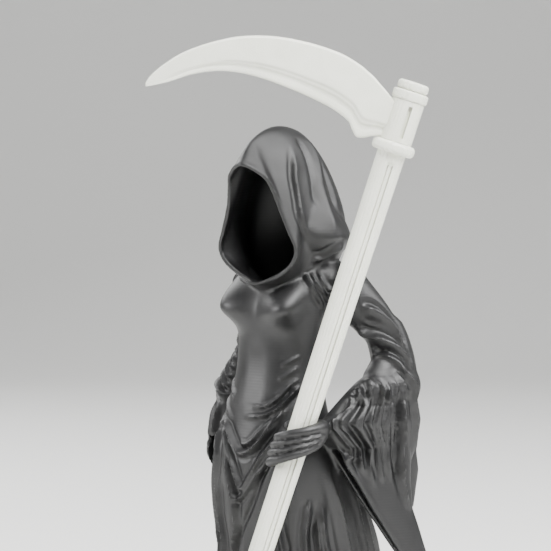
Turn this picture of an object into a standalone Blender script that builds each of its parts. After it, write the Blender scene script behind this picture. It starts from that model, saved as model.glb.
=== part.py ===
"""Grim reaper figurine: a hooded, faceless woman in a draped robe, printed in one piece with its low
round base, and a separate pale scythe whose shaft slides down through her closed left hand.

The figure faces -Y and stands on the XY plane, with the origin under the middle of the base."""

import math
from dataclasses import dataclass

import bmesh
import bpy
import numpy as np
from mathutils import Matrix, Vector
from mathutils.bvhtree import BVHTree

# Driving sizes, in metres
FIGURE_HEIGHT = 0.1675  # top of the base to the top of the hood
BASE_THICKNESS = 0.0035
BASE_MARGIN = 0.011  # base beyond the hem
BASE_CHAMFER = 0.0008
HOOD_WALL = 0.0021
HOOD_LIP = 0.0013  # the wall where it thins towards the rim
SLEEVE_WALL = 0.0017
GRIP_CLEARANCE = 0.0003  # all round the shaft, in the hand
FOOT_CLEARANCE = 0.0003  # under the lowest side of the butt

SHAFT_FOOT_DIAMETER = 0.0060
SHAFT_HEAD_DIAMETER = 0.0077
SHAFT_LENGTH = 0.1876  # butt to cap
SHAFT_LEAN = math.radians(18.0)  # from upright
BUTT_ROUNDING = 0.0008
SHAFT_BEARING = math.radians(42.0)  # of the way it leans, from +X towards +Y
SHAFT_FLAT_DEPTH = 0.0003  # shaved off the side that faces out of the blade
SHAFT_FLAT_SHARE = 0.97  # of the plain shaft's length
CAP_DIAMETER = 0.0084
CAP_LENGTH = 0.0026
CAP_ROUNDING = 0.0008
CAP_GROOVE_DEPTH = 0.0005
BAND_DIAMETER = 0.0096
BAND_LENGTH = 0.0026
BAND_ROUNDING = 0.0005
COLLAR_DIAMETER = 0.0088
COLLAR_LENGTH = 0.0114
COLLAR_ROUNDING = 0.0001
RING_DIAMETER = 0.0116
RING_LENGTH = 0.0030
RING_ROUNDING = 0.0010
BLADE_TURN = math.radians(12.0)  # from the leaning plane of the shaft towards the figure's front
BLADE_REACH = 0.0687  # shaft axis to the tip
BLADE_THICKNESS = 0.0032
BLADE_EDGE_THICKNESS = 0.0013
BLADE_BELLY = 0.62  # share of the width, from the spine, that is full and rounded
BLADE_BEVEL = 0.82  # share at which the thin flange of the edge starts

# The sculptor's grid: the free forms below are in steps, shares of the figure's height.
HEIGHT_IN_STEPS = 167.5
STEP = FIGURE_HEIGHT / HEIGHT_IN_STEPS
VOXEL_IN_STEPS = 0.6
FIGURE_TRIANGLES = 6500

BLACK = (0.012, 0.012, 0.013)
PALE = (0.80, 0.82, 0.72)

# Rings of the robe and body, bottom to top: height, middle across, middle back, half width, half depth
ROBE_RINGS = [
    (-1.5, 0.0, 5.5, 30.5, 30.5),
    (6.0, 0.0, 5.5, 28.5, 29.5),
    (20.0, 0.0, 6.5, 24.8, 26.5),
    (34.0, 0.0, 8.0, 22.5, 24.5),
    (49.0, 0.0, 8.5, 21.2, 22.5),
    (63.0, 0.0, 4.5, 21.0, 19.0),
    (77.0, 0.0, 0.0, 19.5, 15.3),
    (85.5, 0.0, -0.5, 16.7, 13.0),
    (91.0, 0.0, -0.3, 14.9, 12.0),
    (97.0, 0.0, 0.3, 13.4, 11.0),
    (102.5, 0.0, 0.6, 12.7, 10.3),
    (109.0, 0.0, 1.0, 12.7, 10.2),
    (117.0, 0.0, 1.8, 14.2, 10.8),
    (123.5, 0.0, 3.6, 16.2, 10.3),
    (128.5, 0.0, 5.6, 16.4, 8.6),
    (131.5, 0.0, 6.2, 12.5, 7.0),
    (133.0, 0.0, 6.2, 8.0, 5.0),
]
HEM_HALF_WIDTH = ROBE_RINGS[0][3]
BUST_ANGLE = 35.0
BUST_HEIGHT = 118.0
BUST_OUT = 5.4
BUST_SPREAD = 21.0  # degrees
BUST_SLOPES = (7.0, 4.2)  # how fast it falls away over and under
PLEAT_TOP = 70.0  # the skirt's pleats start here and are full at the hem
PLEAT_HEIGHT = 1.25

# Half of the hood's rim, from the top middle round to the bottom middle: across, height, forward
HOOD_RIM = [
    (0.0, 157.8, 24.5),
    (5.1, 154.8, 21.6),
    (6.7, 151.2, 19.4),
    (8.1, 146.0, 17.6),
    (10.4, 139.3, 16.4),
    (12.0, 134.8, 15.6),
    (10.8, 131.2, 15.2),
    (7.7, 128.4, 14.8),
    (3.8, 126.3, 14.9),
    (0.0, 125.0, 15.6),
]
# Rings of the hood behind the rim: forward, lean of its top, middle height, half height, half width,
# how far its top is pinched and its foot spread
HOOD_RINGS = [
    (12.5, 6.0, 143.0, 21.6, 11.4, 0.70, 0.20),
    (5.0, 2.0, 143.8, 24.0, 13.0, 0.42, 0.30),
    (-3.0, 0.0, 144.0, 23.0, 13.6, 0.34, 0.32),
    (-9.0, -1.0, 143.6, 20.0, 13.0, 0.38, 0.34),
    (-13.0, -1.0, 142.0, 15.4, 11.0, 0.38, 0.30),
    (-15.5, -0.5, 140.0, 8.6, 6.4, 0.3, 0.2),
]
HOOD_BACK = (-16.4, 139.0)  # forward, height
HEAD_MIDDLE = (0.5, 3.0)
HEAD_TURN = math.radians(12.0)  # to her left

SHOULDER_LEFT = (15.6, 9.6, 123.0)
ELBOW_LEFT = (28.2, 18.2, 96.5)
WRIST_LEFT = (22.8, -3.6, 87.2)
SHOULDER_RIGHT = (-15.0, 9.5, 123.0)
ELBOW_RIGHT = (-23.2, 7.8, 91.0)
WRIST_RIGHT = (-10.5, 16.2, 86.5)
KNUCKLES_RIGHT = (-2.5, 14.6, 85.0)
# Rings of the cloth over the shoulders: height, middle across, middle back, half width, half depth
COWL_RINGS = [
    (127.5, 0.0, 6.0, 12.0, 8.5),
    (132.0, 0.0, 5.6, 15.0, 11.4),
    (135.0, 0.0, 5.2, 17.6, 13.6),
    (137.5, 0.0, 4.8, 18.6, 14.6),
    (141.0, 0.0, 4.2, 17.4, 14.4),
    (146.0, 0.0, 3.4, 14.6, 13.4),
    (150.0, 0.0, 3.0, 12.6, 12.2),
    (154.0, 0.0, 3.0, 10.6, 11.0),
]
CAVITY_BACK = (-11.0, 143.0)  # forward, height
# Hollows of the sleeves: top, bottom, how far they are moved out of the front edge
LEFT_MOUTH = (80.5, 48.0, 4.2)
RIGHT_MOUTH = (80.0, 68.0, 3.0)
SHAFT_FOOT = (0.9, -34.1)  # across and back, where the axis meets the base
GRIP_UP = 85.2  # along the shaft, to the middle of the fist
FINGER_RADIUS = 1.45
FINGER_SPACING = 2.3
BORE_REACH = (16.0, 18.0)  # the bore runs this far below and above the middle of the fist
# Blade, root to tip: spine and edge, each as reach out and height over the top of the collar, as shares
# of a reach of 67.5
BLADE_STATIONS = [
    (3.0, -1.7, 3.0, -10.6),
    (6.2, 0.5, 6.4, -11.6),
    (8.6, 1.9, 8.4, -12.6),
    (11.0, 3.3, 10.4, -13.0),
    (13.2, 4.2, 12.1, -11.6),
    (15.6, 5.1, 14.2, -9.6),
    (21.5, 6.3, 20.0, -7.8),
    (30.0, 6.3, 28.5, -6.7),
    (39.0, 5.1, 37.0, -6.2),
    (47.5, 2.4, 44.0, -6.5),
    (54.5, -1.5, 50.5, -7.9),
    (60.5, -6.1, 56.5, -10.7),
    (64.4, -10.6, 61.8, -14.4),
    (66.6, -14.0, 65.6, -16.6),
    (67.5, -16.4, 67.1, -17.4),
]


def smooth_path(points, samples):
    """Points spaced evenly in parameter on a Catmull-Rom curve through the given ones."""
    p = np.asarray(points, float)
    p = np.vstack([2 * p[0] - p[1], p, 2 * p[-1] - p[-2]])
    at = np.linspace(0, len(p) - 3 - 1e-9, samples)
    i = at.astype(int)
    t = (at - i)[:, None]
    a, b, c, d = p[i], p[i + 1], p[i + 2], p[i + 3]
    return 0.5 * (2 * b + (c - a) * t + (2 * a - 5 * b + 4 * c - d) * t**2 + (3 * b - a - 3 * c + d) * t**3)


def look_up(table, key):
    """A row of a table whose first column rises, read from the smooth curve through its rows."""
    rows = smooth_path(table, 40 * len(table))
    return np.stack([np.interp(key, rows[:, 0], column) for column in rows.T], -1)


def ease(x):
    x = np.clip(x, 0, 1)
    return x * x * (3 - 2 * x)


def bell(x):
    return np.exp(-np.square(x))


# The robe and body, as one surface of angle and height


def robe_point(angle, height):
    """A point of the robe in steps; angle is in degrees from her front towards her left."""
    angle, height = np.broadcast_arrays(np.asarray(angle, float), np.asarray(height, float))
    ring = look_up(ROBE_RINGS, height)
    turn = np.radians(angle)
    off = (angle + 180) % 360 - 180
    above = height - BUST_HEIGHT
    fall = np.where(above > 0, *BUST_SLOPES)
    out = BUST_OUT * bell((np.abs(off) - BUST_ANGLE) / BUST_SPREAD) * bell(above / fall)
    low = ease((PLEAT_TOP - height) / PLEAT_TOP)
    pleat = np.cos(15 * turn + 0.9 * np.sin(2 * turn) + 0.3) + 0.35 * np.cos(26 * turn + 1.0)
    out = out + PLEAT_HEIGHT * low * pleat
    x = ring[..., 1] + (ring[..., 3] + out) * np.sin(turn)
    y = ring[..., 2] - (ring[..., 4] + out) * np.cos(turn)
    return np.stack([x, y, height], -1)


def robe(columns=144, rows=120):
    heights = np.linspace(ROBE_RINGS[0][0], ROBE_RINGS[-1][0], rows)
    angles = np.linspace(0, 360, columns, endpoint=False)
    return [robe_point(angles, height) for height in heights]


# The hood, as one surface from its rim back to the nape


def to_head(across, forward, height):
    """From the head's own across, forward and height to the figure's grid."""
    c, s = math.cos(HEAD_TURN), math.sin(HEAD_TURN)
    across, forward, height = np.broadcast_arrays(across, forward, height)
    x = HEAD_MIDDLE[0] + across * c + forward * s
    y = HEAD_MIDDLE[1] + across * s - forward * c
    return np.stack([x, y, height], -1)


def rim_ring(columns, inset=0.0):
    """The rim, from its top towards her left and round; inset moves it in towards its middle."""
    half = np.array(HOOD_RIM)
    whole = np.vstack([half, half[-2:0:-1] * (-1, 1, 1)])
    looped = np.vstack([whole[-2:], whole, whole[:3]])
    path = smooth_path(looped, 40 * len(looped))
    at = np.linspace(2, 2 + len(whole), columns, endpoint=False)
    rows = np.linspace(0, len(looped) - 1, len(path))
    ring = np.column_stack([np.interp(at, rows, column) for column in path.T])
    middle = np.array([0.0, 140.0])
    flat = ring[:, :2] - middle
    flat *= 1 - inset / np.maximum(np.linalg.norm(flat, axis=1), 1e-6)[:, None]
    return np.column_stack([flat + middle, ring[:, 2]])


def hood_ring(row, columns):
    forward, lean, middle, half_height, half_width, pinch, spread = row
    t = np.linspace(0, 2 * math.pi, columns, endpoint=False)
    shape = 1 - pinch * np.maximum(np.cos(t), 0) + spread * np.maximum(-np.cos(t), 0)
    across = half_width * np.sin(t) * shape
    height = middle + half_height * np.cos(t)
    return np.column_stack([across, height, forward + lean * np.cos(t)])


def hood_skin(columns, rows, lip=0.0, rings=HOOD_RINGS, back=HOOD_BACK):
    """Rings of the hood's surface from the rim back to one point, in steps."""
    pole = np.tile([0.0, back[1], back[0]], (columns, 1))
    rim = rim_ring(columns, lip - HOOD_LIP / STEP / 2)
    stations = [rim, *(hood_ring(row, columns) for row in rings), pole]
    lines = smooth_path(np.array(stations).reshape(len(stations), -1), rows).reshape(rows, columns, 3)
    return [to_head(ring[:, 0], ring[:, 2], ring[:, 1]) for ring in lines[:-1]]


def cowl():
    """The hood's cloth where it spreads over the shoulders."""
    t = np.linspace(0, 2 * math.pi, 96, endpoint=False)
    rings = []
    for height in np.linspace(COWL_RINGS[0][0], COWL_RINGS[-1][0], 24):
        ring = look_up(COWL_RINGS, height)
        x, y = ring[1] + ring[3] * np.sin(t), ring[2] - ring[4] * np.cos(t)
        rings.append(np.column_stack([x, y, np.full(len(t), height)]))
    return rings


# Sleeves and arms


def tube(path, radii, rows, columns):
    """Rings round a smooth path, with round ends; the radii are read evenly along it."""
    centres = smooth_path(path, rows)
    radius = np.interp(np.linspace(0, 1, rows), np.linspace(0, 1, len(radii)), radii)
    along = np.gradient(centres, axis=0)
    along /= np.linalg.norm(along, axis=1)[:, None]
    t = np.linspace(0, 2 * math.pi, columns, endpoint=False)
    rings = []
    side = np.cross(along[0], (0.0, 0.0, 1.0))
    for centre, way, r in dome(centres, along, radius):
        side = side - way * (side @ way)
        side /= np.linalg.norm(side)
        up = np.cross(side, way)
        rings.append(centre + r * (np.outer(np.cos(t), side) + np.outer(np.sin(t), up)))
    return rings


def dome(centres, along, radius, steps=5):
    """The stations of a tube, with more of them past each end that round it off."""
    turns = np.linspace(0, math.pi / 2, steps + 1)[1:] * 0.97
    for turn in turns[::-1]:
        yield centres[0] - along[0] * radius[0] * math.sin(turn), along[0], radius[0] * math.cos(turn)
    yield from zip(centres, along, radius)
    for turn in turns:
        yield centres[-1] + along[-1] * radius[-1] * math.sin(turn), along[-1], radius[-1] * math.cos(turn)


@dataclass
class Fall:
    """Cloth that hangs from an arm: a flat pouch between a front and a back edge, top to bottom."""

    front: list
    back: list
    depths: tuple
    blunt: tuple = (0.0, 1.0)  # the front is square below the first height and round above the second

    def place(self, height):
        """Its front edge's point, the ways back and out from there, its length, depth and squareness."""
        front, back = (self.edge(e, height) for e in (self.front, self.back))
        top, bottom = self.front[0][2], self.front[-1][2]
        depth = np.interp((top - height) / (top - bottom), np.linspace(0, 1, len(self.depths)), self.depths)
        square = np.interp(height, self.blunt, (1, 0))
        way = (back - front) / max(np.linalg.norm(back - front), 1e-6)
        front = front - square * depth / 2 * np.array([way[1], -way[0]])
        length = max(np.linalg.norm(back - front), 1e-6)
        way = (back - front) / length
        return front, way, np.array([way[1], -way[0]]), length, depth, square

    def ring(self, height, columns, wall=0.0, forward=0.0):
        front, way, side, length, depth, square = self.place(height)
        t = np.linspace(0, 2 * math.pi, columns, endpoint=False)
        c, s = np.cos(t), np.sin(t)
        across = (length / 2 - wall) * np.sign(c) * np.abs(c) ** 0.8
        thick = (depth / 2 - wall) * np.sign(s) * np.abs(s) ** np.where(c < 0, 0.8 - 0.45 * square, 0.8)
        flat = front + way * (length / 2 - forward) + np.outer(across, way) + np.outer(thick, side)
        return np.column_stack([flat, np.full(columns, height)])

    def edge(self, points, height):
        rows = np.array(points)[::-1]
        return np.array([np.interp(height, rows[:, 2], rows[:, axis]) for axis in (0, 1)])

    def rings(self, columns, rows, wall=0.0, forward=0.0, ends=None):
        """Level rings of the pouch, or of a hollow in it that is that far in and moved forward."""
        top, bottom = ends or (self.front[0][2], self.front[-1][2])
        return [self.ring(z, columns, wall, forward) for z in np.linspace(top, bottom, rows)]


LEFT_FALL = Fall(
    front=[(28.0, 5.0, 97.5), (28.2, 3.6, 94.5), (26.4, -3.0, 91.0), (24.2, -9.4, 88.6), (24.6, -7.2, 86.6),
           (26.8, -2.6, 79.5), (28.6, 1.0, 72.5), (30.9, 5.4, 64.0), (34.0, 11.4, 53.3), (36.9, 17.2, 43.5),
           (38.1, 21.0, 38.0)],
    back=[(29.8, 21.0, 97.5), (30.4, 21.4, 92.5), (31.0, 20.4, 84.3), (31.9, 18.6, 70.8), (32.9, 18.4, 63.0),
          (34.1, 19.4, 58.5), (35.8, 21.0, 51.0), (37.3, 22.6, 44.4), (38.4, 22.6, 38.0)],
    depths=(5.6, 9.0, 10.8, 10.0, 8.8, 7.8, 7.0, 6.2, 5.6, 5.0, 4.4, 3.7, 3.0),
    blunt=(81.0, 88.0),
)
RIGHT_FALL = Fall(
    front=[(-24.2, 1.6, 92.0), (-24.8, -0.4, 83.3), (-25.2, -1.8, 73.4), (-21.0, 2.2, 61.5)],
    back=[(-15.5, 18.0, 92.0), (-15.8, 19.0, 83.3), (-16.5, 18.5, 73.4), (-17.5, 14.0, 61.5)],
    depths=(9.0, 8.5, 6.5, 3.0),
)
# Two loose layers of the left sleeve behind the elbow
LEFT_FLAPS = [
    Fall(
        front=[(27.0, 13.0, 105.0), (28.6, 16.0, 94.6), (29.2, 17.5, 86.0), (29.9, 21.4, 79.0)],
        back=[(28.3, 18.2, 105.0), (31.4, 21.8, 94.6), (31.7, 23.6, 87.0), (30.4, 23.6, 79.0)],
        depths=(4.5, 5.0, 3.6, 2.2),
    ),
    Fall(
        front=[(27.5, 14.0, 97.4), (28.4, 18.2, 84.0), (28.6, 20.0, 72.0), (29.0, 22.0, 62.0)],
        back=[(28.6, 19.5, 97.4), (29.6, 22.8, 83.8), (30.2, 24.5, 72.8), (29.5, 23.3, 62.0)],
        depths=(4.5, 4.0, 3.4, 2.0),
    ),
]


# The hand, wound round the shaft


def finger_paths(places):
    """Lines round the shaft for fingers at the given places from the middle of the hand, in steps."""
    orbit = (shaft_radius(GRIP_UP * STEP) + GRIP_CLEARANCE) / STEP + 0.75 * FINGER_RADIUS
    turns = np.array((222, 190, 155, 122, 90, 44, 0, -49, -98, -139))
    reach = np.array((1.5, 1.2, 1.08, 1.08, 1.1, 1.12, 1.08, 1.05, 1.03, 1.0)) * orbit
    rise = np.array((5.0, 5.5, 5.2, 4.1, 2.4, -0.3, -2.3, -2.6, -2.8, -2.9))
    spread = np.array((0.3, 0.45, 0.65, 0.76, 0.84, 0.94, 1, 1, 1, 1))
    for place in places:
        yield turns, reach + 0.3 * (1.5 - abs(place)), rise + place * FINGER_SPACING * spread


def hand_tubes():
    """The fingers, palm and thumb, as tubes in steps round the shaft, at the height of the grip."""
    radii = FINGER_RADIUS * np.array((1.5, 1.35, 1.2, 1.1, 1.05, 1, 0.98, 0.95, 0.9, 0.75))
    tubes = []
    for turns, reach, heights in finger_paths((-1.5, -0.5, 0.5, 1.5)):
        turns = np.radians(turns)
        path = np.column_stack([reach * np.cos(turns), reach * np.sin(turns), heights])
        tubes.append(tube(path, radii, 40, 16))
    tubes.append(tube([(-12.5, -9.8, 8.4), (-8.8, -7.4, 6.6), (-5.2, -4.4, 5.0)], (2.4, 2.2, 2.4), 14, 32))
    tubes.append(tube([(-5.6, -4.6, 6.4), (-2.5, -6.0, 6.2), (2.2, -5.8, 4.4)], (2.0, 1.8, 1.3), 14, 32))
    return tubes


def shaft_frame():
    """The shaft's place: its foot, and its own axes, out along the blade, out of the blade and up."""
    turn = Matrix.Rotation(SHAFT_BEARING, 4, "Z") @ Matrix.Rotation(SHAFT_LEAN, 4, "Y")
    turn = turn @ Matrix.Rotation(math.pi + BLADE_TURN, 4, "Z")
    foot = Vector((*SHAFT_FOOT, 0)) * STEP + Vector((0, 0, BASE_THICKNESS))
    lift = (FOOT_CLEARANCE + SHAFT_FOOT_DIAMETER / 2 * math.sin(SHAFT_LEAN)) / math.cos(SHAFT_LEAN)
    return Matrix.Translation(foot) @ turn @ Matrix.Translation((0, 0, lift))


def on_shaft(rings, up):
    """Rings given in steps round the shaft, a number of steps up it, on the figure's grid."""
    place = np.array(shaft_frame())
    moved = []
    for ring in rings:
        ring = (ring + (0, 0, up)) * STEP @ place[:3, :3].T + place[:3, 3] - (0, 0, BASE_THICKNESS)
        moved.append(ring / STEP)
    return moved


# Folds


@dataclass
class Fold:
    """A stroke of carving: points (bearing, height) on a cloth, how wide and how high it stands.

    Bearings are degrees round the cloth's upright axis, from her front towards her left. A height
    below zero carves a groove. Lap leans the ridge, so that it drops sharply on one side."""

    cloth: str
    points: list
    width: float
    height: float
    lap: int = 0


AXES = {
    "robe": [(-2, 0, 5.5), (49, 0, 8.5), (77, 0, 0), (102, 0, 0.6), (128, 0, 5.6)],
    "hood": [(120, 0.5, 3), (168, 0.5, 3)],
    "left arm": [(38, 37.6, 21), (52, 34.6, 16.6), (64, 31.8, 12.6), (75, 30.2, 12), (88, 29, 13),
                 (97, 28, 16.5), (112, 21.5, 15.5), (124, 15, 9.5)],
    "right arm": [(60, -19, 8), (90, -20, 9), (105, -17, 9), (124, -14.5, 9.5)],
}


def axis_at(cloth, height):
    rows = np.array(AXES[cloth], float)
    return np.array([np.interp(height, rows[:, 0], rows[:, 1]), np.interp(height, rows[:, 0], rows[:, 2])])


def between(first, last, count):
    """Strokes that change evenly from the first to the last."""
    first, last = np.array(first, float), np.array(last, float)
    return [first + (last - first) * share for share in np.linspace(0, 1, count)]


def other_side(points):
    """A stroke on the hood carried to its other side, across the way that the head looks."""
    return [(2 * math.degrees(HEAD_TURN) - bearing, height) for bearing, height in points]


def hood_folds():
    """Creases that run from the crown down to the shoulders, behind the panel of the rim."""
    strokes = []
    for points, width, height in [
        ([(53, 163), (52, 157.3), (51, 153.9), (53, 149.3), (55, 143.9), (61, 139.8), (67, 137)], 1.0, 1.0),
        ([(65, 165), (85, 162), (87, 158.3), (84, 153.7), (80, 149.4), (80, 145)], 0.9, -1.2),
        ([(100, 166), (130, 163), (124, 159.5), (103, 153.6), (96, 147.7), (92, 142), (89, 138)], 1.2, 0.9),
        ([(160, 165), (152, 161.5), (135, 158), (124, 153.5), (119, 147), (109, 140)], 1.0, -1.1),
        ([(165, 160), (150, 155), (140, 148), (130, 142), (124, 138)], 1.3, 0.8),
        ([(70, 131), (86, 132.4), (94, 134.1), (106, 135.4)], 1.1, 1.1),
    ]:
        strokes.append(Fold("hood", points, width, height))
        strokes.append(Fold("hood", other_side(points), width, height))
    strokes.append(Fold("hood", [(192, 160), (192, 152), (190, 144), (192, 134)], 1.2, -0.8))
    return strokes


def waist_folds():
    """Cloth gathered on the left hip, and the swags that hang from it across the lap."""
    strokes = []
    for points, width, height in (
        ([(-8, 88.4), (14, 88.5), (27, 89.2), (39, 90.7), (48, 92.6), (59, 95.2), (68, 97.5)], 1.0, 1.1),
        ([(3, 91.4), (21, 91.4), (34, 92.6), (46, 94.8), (57, 97.4)], 0.7, 0.6),
        ([(-56, 90), (-33, 85.6), (-20, 82.6), (4, 78.5), (19, 81), (39, 88), (52, 93)], 1.2, 1.5),
        ([(-9, 81.6), (3, 80.9), (11, 81.9), (20, 84.4), (31, 87.5), (42, 91)], 0.7, 0.8),
        ([(-46, 86), (-14, 76.5), (-5, 71.6), (0, 68.8), (11, 72.5), (31, 80.2), (46, 86)], 1.2, 1.4),
        ([(-14, 67.5), (-5, 65.6), (6, 68.5), (15, 71.8), (28, 76.1), (38, 81), (50, 86.5)], 1.0, 1.2),
        ([(44, 82), (38, 79.5), (22, 71.7), (9, 64.1), (-3, 57), (-10, 51), (-14, 44)], 1.2, 1.2),
    ):
        strokes.append(Fold("robe", points, width, height))
    first, last = [(36, 94.4), (50, 96.4), (69, 99.2)], [(42, 102.2), (54, 103.6), (70, 105.4)]
    for points in between(first, last, 4):
        strokes.append(Fold("robe", points, 0.65, 0.7))
    for points in between([(-62, 88), (-40, 84), (-16, 80)], [(-66, 98), (-48, 95), (-30, 93)], 3):
        strokes.append(Fold("robe", points, 0.8, 0.5))
    return strokes


def skirt_folds():
    """Long creases that fall from the hips to the hem, all the way round."""
    strokes = []
    for points in (
        [(-50, 88), (-46, 82), (-41, 75), (-44, 58), (-36, 48), (-36, 25), (-36, -3)],
        [(-37, 74), (-33, 61), (-24, 50), (-23, 25), (-24, -3)],
        [(-42, 86), (-21, 76.3), (-14, 69.5), (-9, 63.5), (-9, 56.7), (-12, 50.9), (-12, 25), (-10, -3)],
        [(62, 67), (56, 61.4), (49, 52), (46, 25), (45, -3)],
        [(64, 63), (60, 52), (57, 25), (55, -3)],
        [(70, 66), (66, 57.6), (65, 50), (66, 25), (64, -3)],
        [(14, 60), (16, 48), (20, 25), (22, -3)],
        [(30, 66), (32, 50), (34, 25), (34, -3)],
    ):
        strokes.append(Fold("robe", points, 1.2, 1.3))
    for place, bearing in enumerate(np.linspace(84, 311, 15)):
        top = 76 + 10 * math.sin(2.3 * place)
        sway = 4 * math.sin(1.7 * place)
        points = [(bearing, top), (bearing + sway, 55), (bearing - sway, 28), (bearing, -3)]
        strokes.append(Fold("robe", points, 1.4, 1.2))
    return strokes


def chest_folds():
    """Pleats round the armholes, and the hollow under the bust."""
    strokes = []
    first = [(56, 128), (61, 125.6), (70, 122), (86, 118)]
    last = [(68, 129), (76, 125), (90, 121.5), (96, 119)]
    for points in between(first, last, 3):
        strokes.append(Fold("robe", points, 0.7, 0.8))
        strokes.append(Fold("robe", points * (-1, 1), 0.7, 0.8))
    strokes.append(Fold("robe", [(2, 108), (4, 98), (2, 90)], 2.6, -0.35))
    return strokes


def left_sleeve_folds():
    """Pleats that hang from over the forearm down the sleeve, and swags round the upper arm."""
    strokes = []
    for first, last, count in (
        ([(-8, 95), (-2, 93.5), (-8, 84), (-12, 78), (-12, 71)],
         [(14, 101.5), (23, 97), (17, 86), (11, 78), (10, 71)], 6),
        ([(22, 99), (25, 93), (22, 84), (19, 78), (19, 71)],
         [(36, 99), (40, 92), (39, 84), (39, 78), (40, 72)], 3),
        ([(44, 101), (48, 91), (58, 84), (78, 72)], [(56, 99), (84, 88), (107, 80), (111, 71)], 3),
        ([(50, 103), (80, 91), (104, 76), (142, 61)], [(62, 103), (118, 93), (150, 86), (172, 72)], 2),
    ):
        for place, points in enumerate(between(first, last, count)):
            points = points + (0, 1.6 * math.sin(2.4 * place))
            strokes.append(Fold("left arm", points, 0.85, 1.05 + 0.25 * math.sin(3.1 * place)))
    for points, width, height in (
        ([(48, 118.3), (73, 117.8), (87, 115.1), (93, 110.8), (102, 106)], 1.4, 1.2),
        ([(3, 113.4), (11, 111.2), (59, 109.5), (89, 106.1), (107, 101)], 1.4, 1.2),
        ([(4, 107.3), (28, 105.3), (54, 105.1), (76, 102.7), (83, 97.5)], 1.2, 1.0),
        ([(120, 117), (135, 110), (150, 104), (165, 100)], 1.3, 1.0),
    ):
        strokes.append(Fold("left arm", points, width, height, 1))
    strokes.append(Fold("left arm", [(30, 115), (60, 114), (86, 111), (97, 106)], 1.3, -0.8))
    return strokes


def right_sleeve_folds():
    strokes = []
    for points in between([(-120, 116), (-60, 110), (-14, 104)], [(-130, 98), (-60, 94), (-6, 90)], 7):
        strokes.append(Fold("right arm", points, 1.0, 1.1, -1))
    for points in between([(-20, 90), (-24, 80), (-26, 72)], [(-140, 90), (-136, 80), (-130, 72)], 8):
        strokes.append(Fold("right arm", points, 0.9, 0.9))
    return strokes


def folds():
    return [
        *hood_folds(), *waist_folds(), *skirt_folds(), *chest_folds(), *left_sleeve_folds(),
        *right_sleeve_folds(),
    ]


def trace(fold, tree):
    """Where a fold's stroke lies on the surface, in steps."""
    found = []
    for bearing, height in smooth_path(fold.points, 14 * len(fold.points)):
        x, y = axis_at(fold.cloth, height)
        turn = math.radians(bearing)
        hit = tree.ray_cast(Vector((x, y, height)), Vector((math.sin(turn), -math.cos(turn), 0)))[0]
        if hit is not None:
            found.append(hit)
    return np.array(found)


def ridge(side, lap):
    """Height of a fold across its width, of the lapped kind where lap isn't 0."""
    if lap:
        side = side * lap
        gentle = bell(side / np.where(side < 0, 1.7, 0.55))
        return gentle - 0.55 * bell((side - 1.25) / 0.6)
    return bell(side) - 0.35 * bell((np.abs(side) - 1.8) / 0.8)


def carve(points, normals, tree):
    """How far each point moves out along its normal, in steps."""
    out = np.zeros(len(points))
    for fold in folds():
        line = trace(fold, tree)
        near = 3 * fold.width
        inside = np.all((points > line.min(0) - near) & (points < line.max(0) + near), axis=1)
        who = np.flatnonzero(inside)
        if not len(who):
            continue
        gaps = points[who, None] - line[None]
        square = np.einsum("ijk,ijk->ij", gaps, gaps)
        nearest = square.argmin(1)
        gap = gaps[np.arange(len(who)), nearest]
        along = np.gradient(line, axis=0)
        along /= np.linalg.norm(along, axis=1)[:, None] + 1e-9
        sign = np.sign(np.einsum("ij,ij->i", gap, np.cross(normals[who], along[nearest])))
        reach = np.sqrt(square[np.arange(len(who)), nearest]) / fold.width
        share = nearest / (len(line) - 1)
        fade = np.sqrt(np.clip(np.sin(math.pi * share), 0, 1)) * (reach < 3)
        out[who] += fold.height * fade * ridge(reach * sign, fold.lap)
    return out


# Meshes


def add_skin(bm, rings, scale=1.0, lift=0.0):
    """A closed skin over rings of points, with a fan over each end."""
    rows = [[bm.verts.new(Vector(p) * scale + Vector((0, 0, lift))) for p in ring] for ring in rings]
    count = len(rows[0])
    faces = []
    for low, high in zip(rows, rows[1:]):
        for i in range(count):
            j = (i + 1) % count
            faces.append(bm.faces.new((low[i], low[j], high[j], high[i])))
    for row in (rows[0], rows[-1]):
        middle = bm.verts.new(sum((v.co for v in row), Vector()) / count)
        for i in range(count):
            faces.append(bm.faces.new((row[i], row[(i + 1) % count], middle)))
    bmesh.ops.recalc_face_normals(bm, faces=faces)


def new_object(name, bm, collection):
    mesh = bpy.data.meshes.new(name)
    bm.to_mesh(mesh)
    bm.free()
    made = bpy.data.objects.new(name, mesh)
    collection.objects.link(made)
    return made


def skin_object(name, rings, collection):
    """A closed skin over rings given in steps above the base."""
    bm = bmesh.new()
    add_skin(bm, rings, STEP, BASE_THICKNESS)
    return new_object(name, bm, collection)


def settle(thing):
    """Puts the object's modifiers into its mesh."""
    graph = bpy.context.evaluated_depsgraph_get()
    mesh = bpy.data.meshes.new_from_object(thing.evaluated_get(graph))
    thing.modifiers.clear()
    old = thing.data
    thing.data = mesh
    bpy.data.meshes.remove(old)


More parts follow.
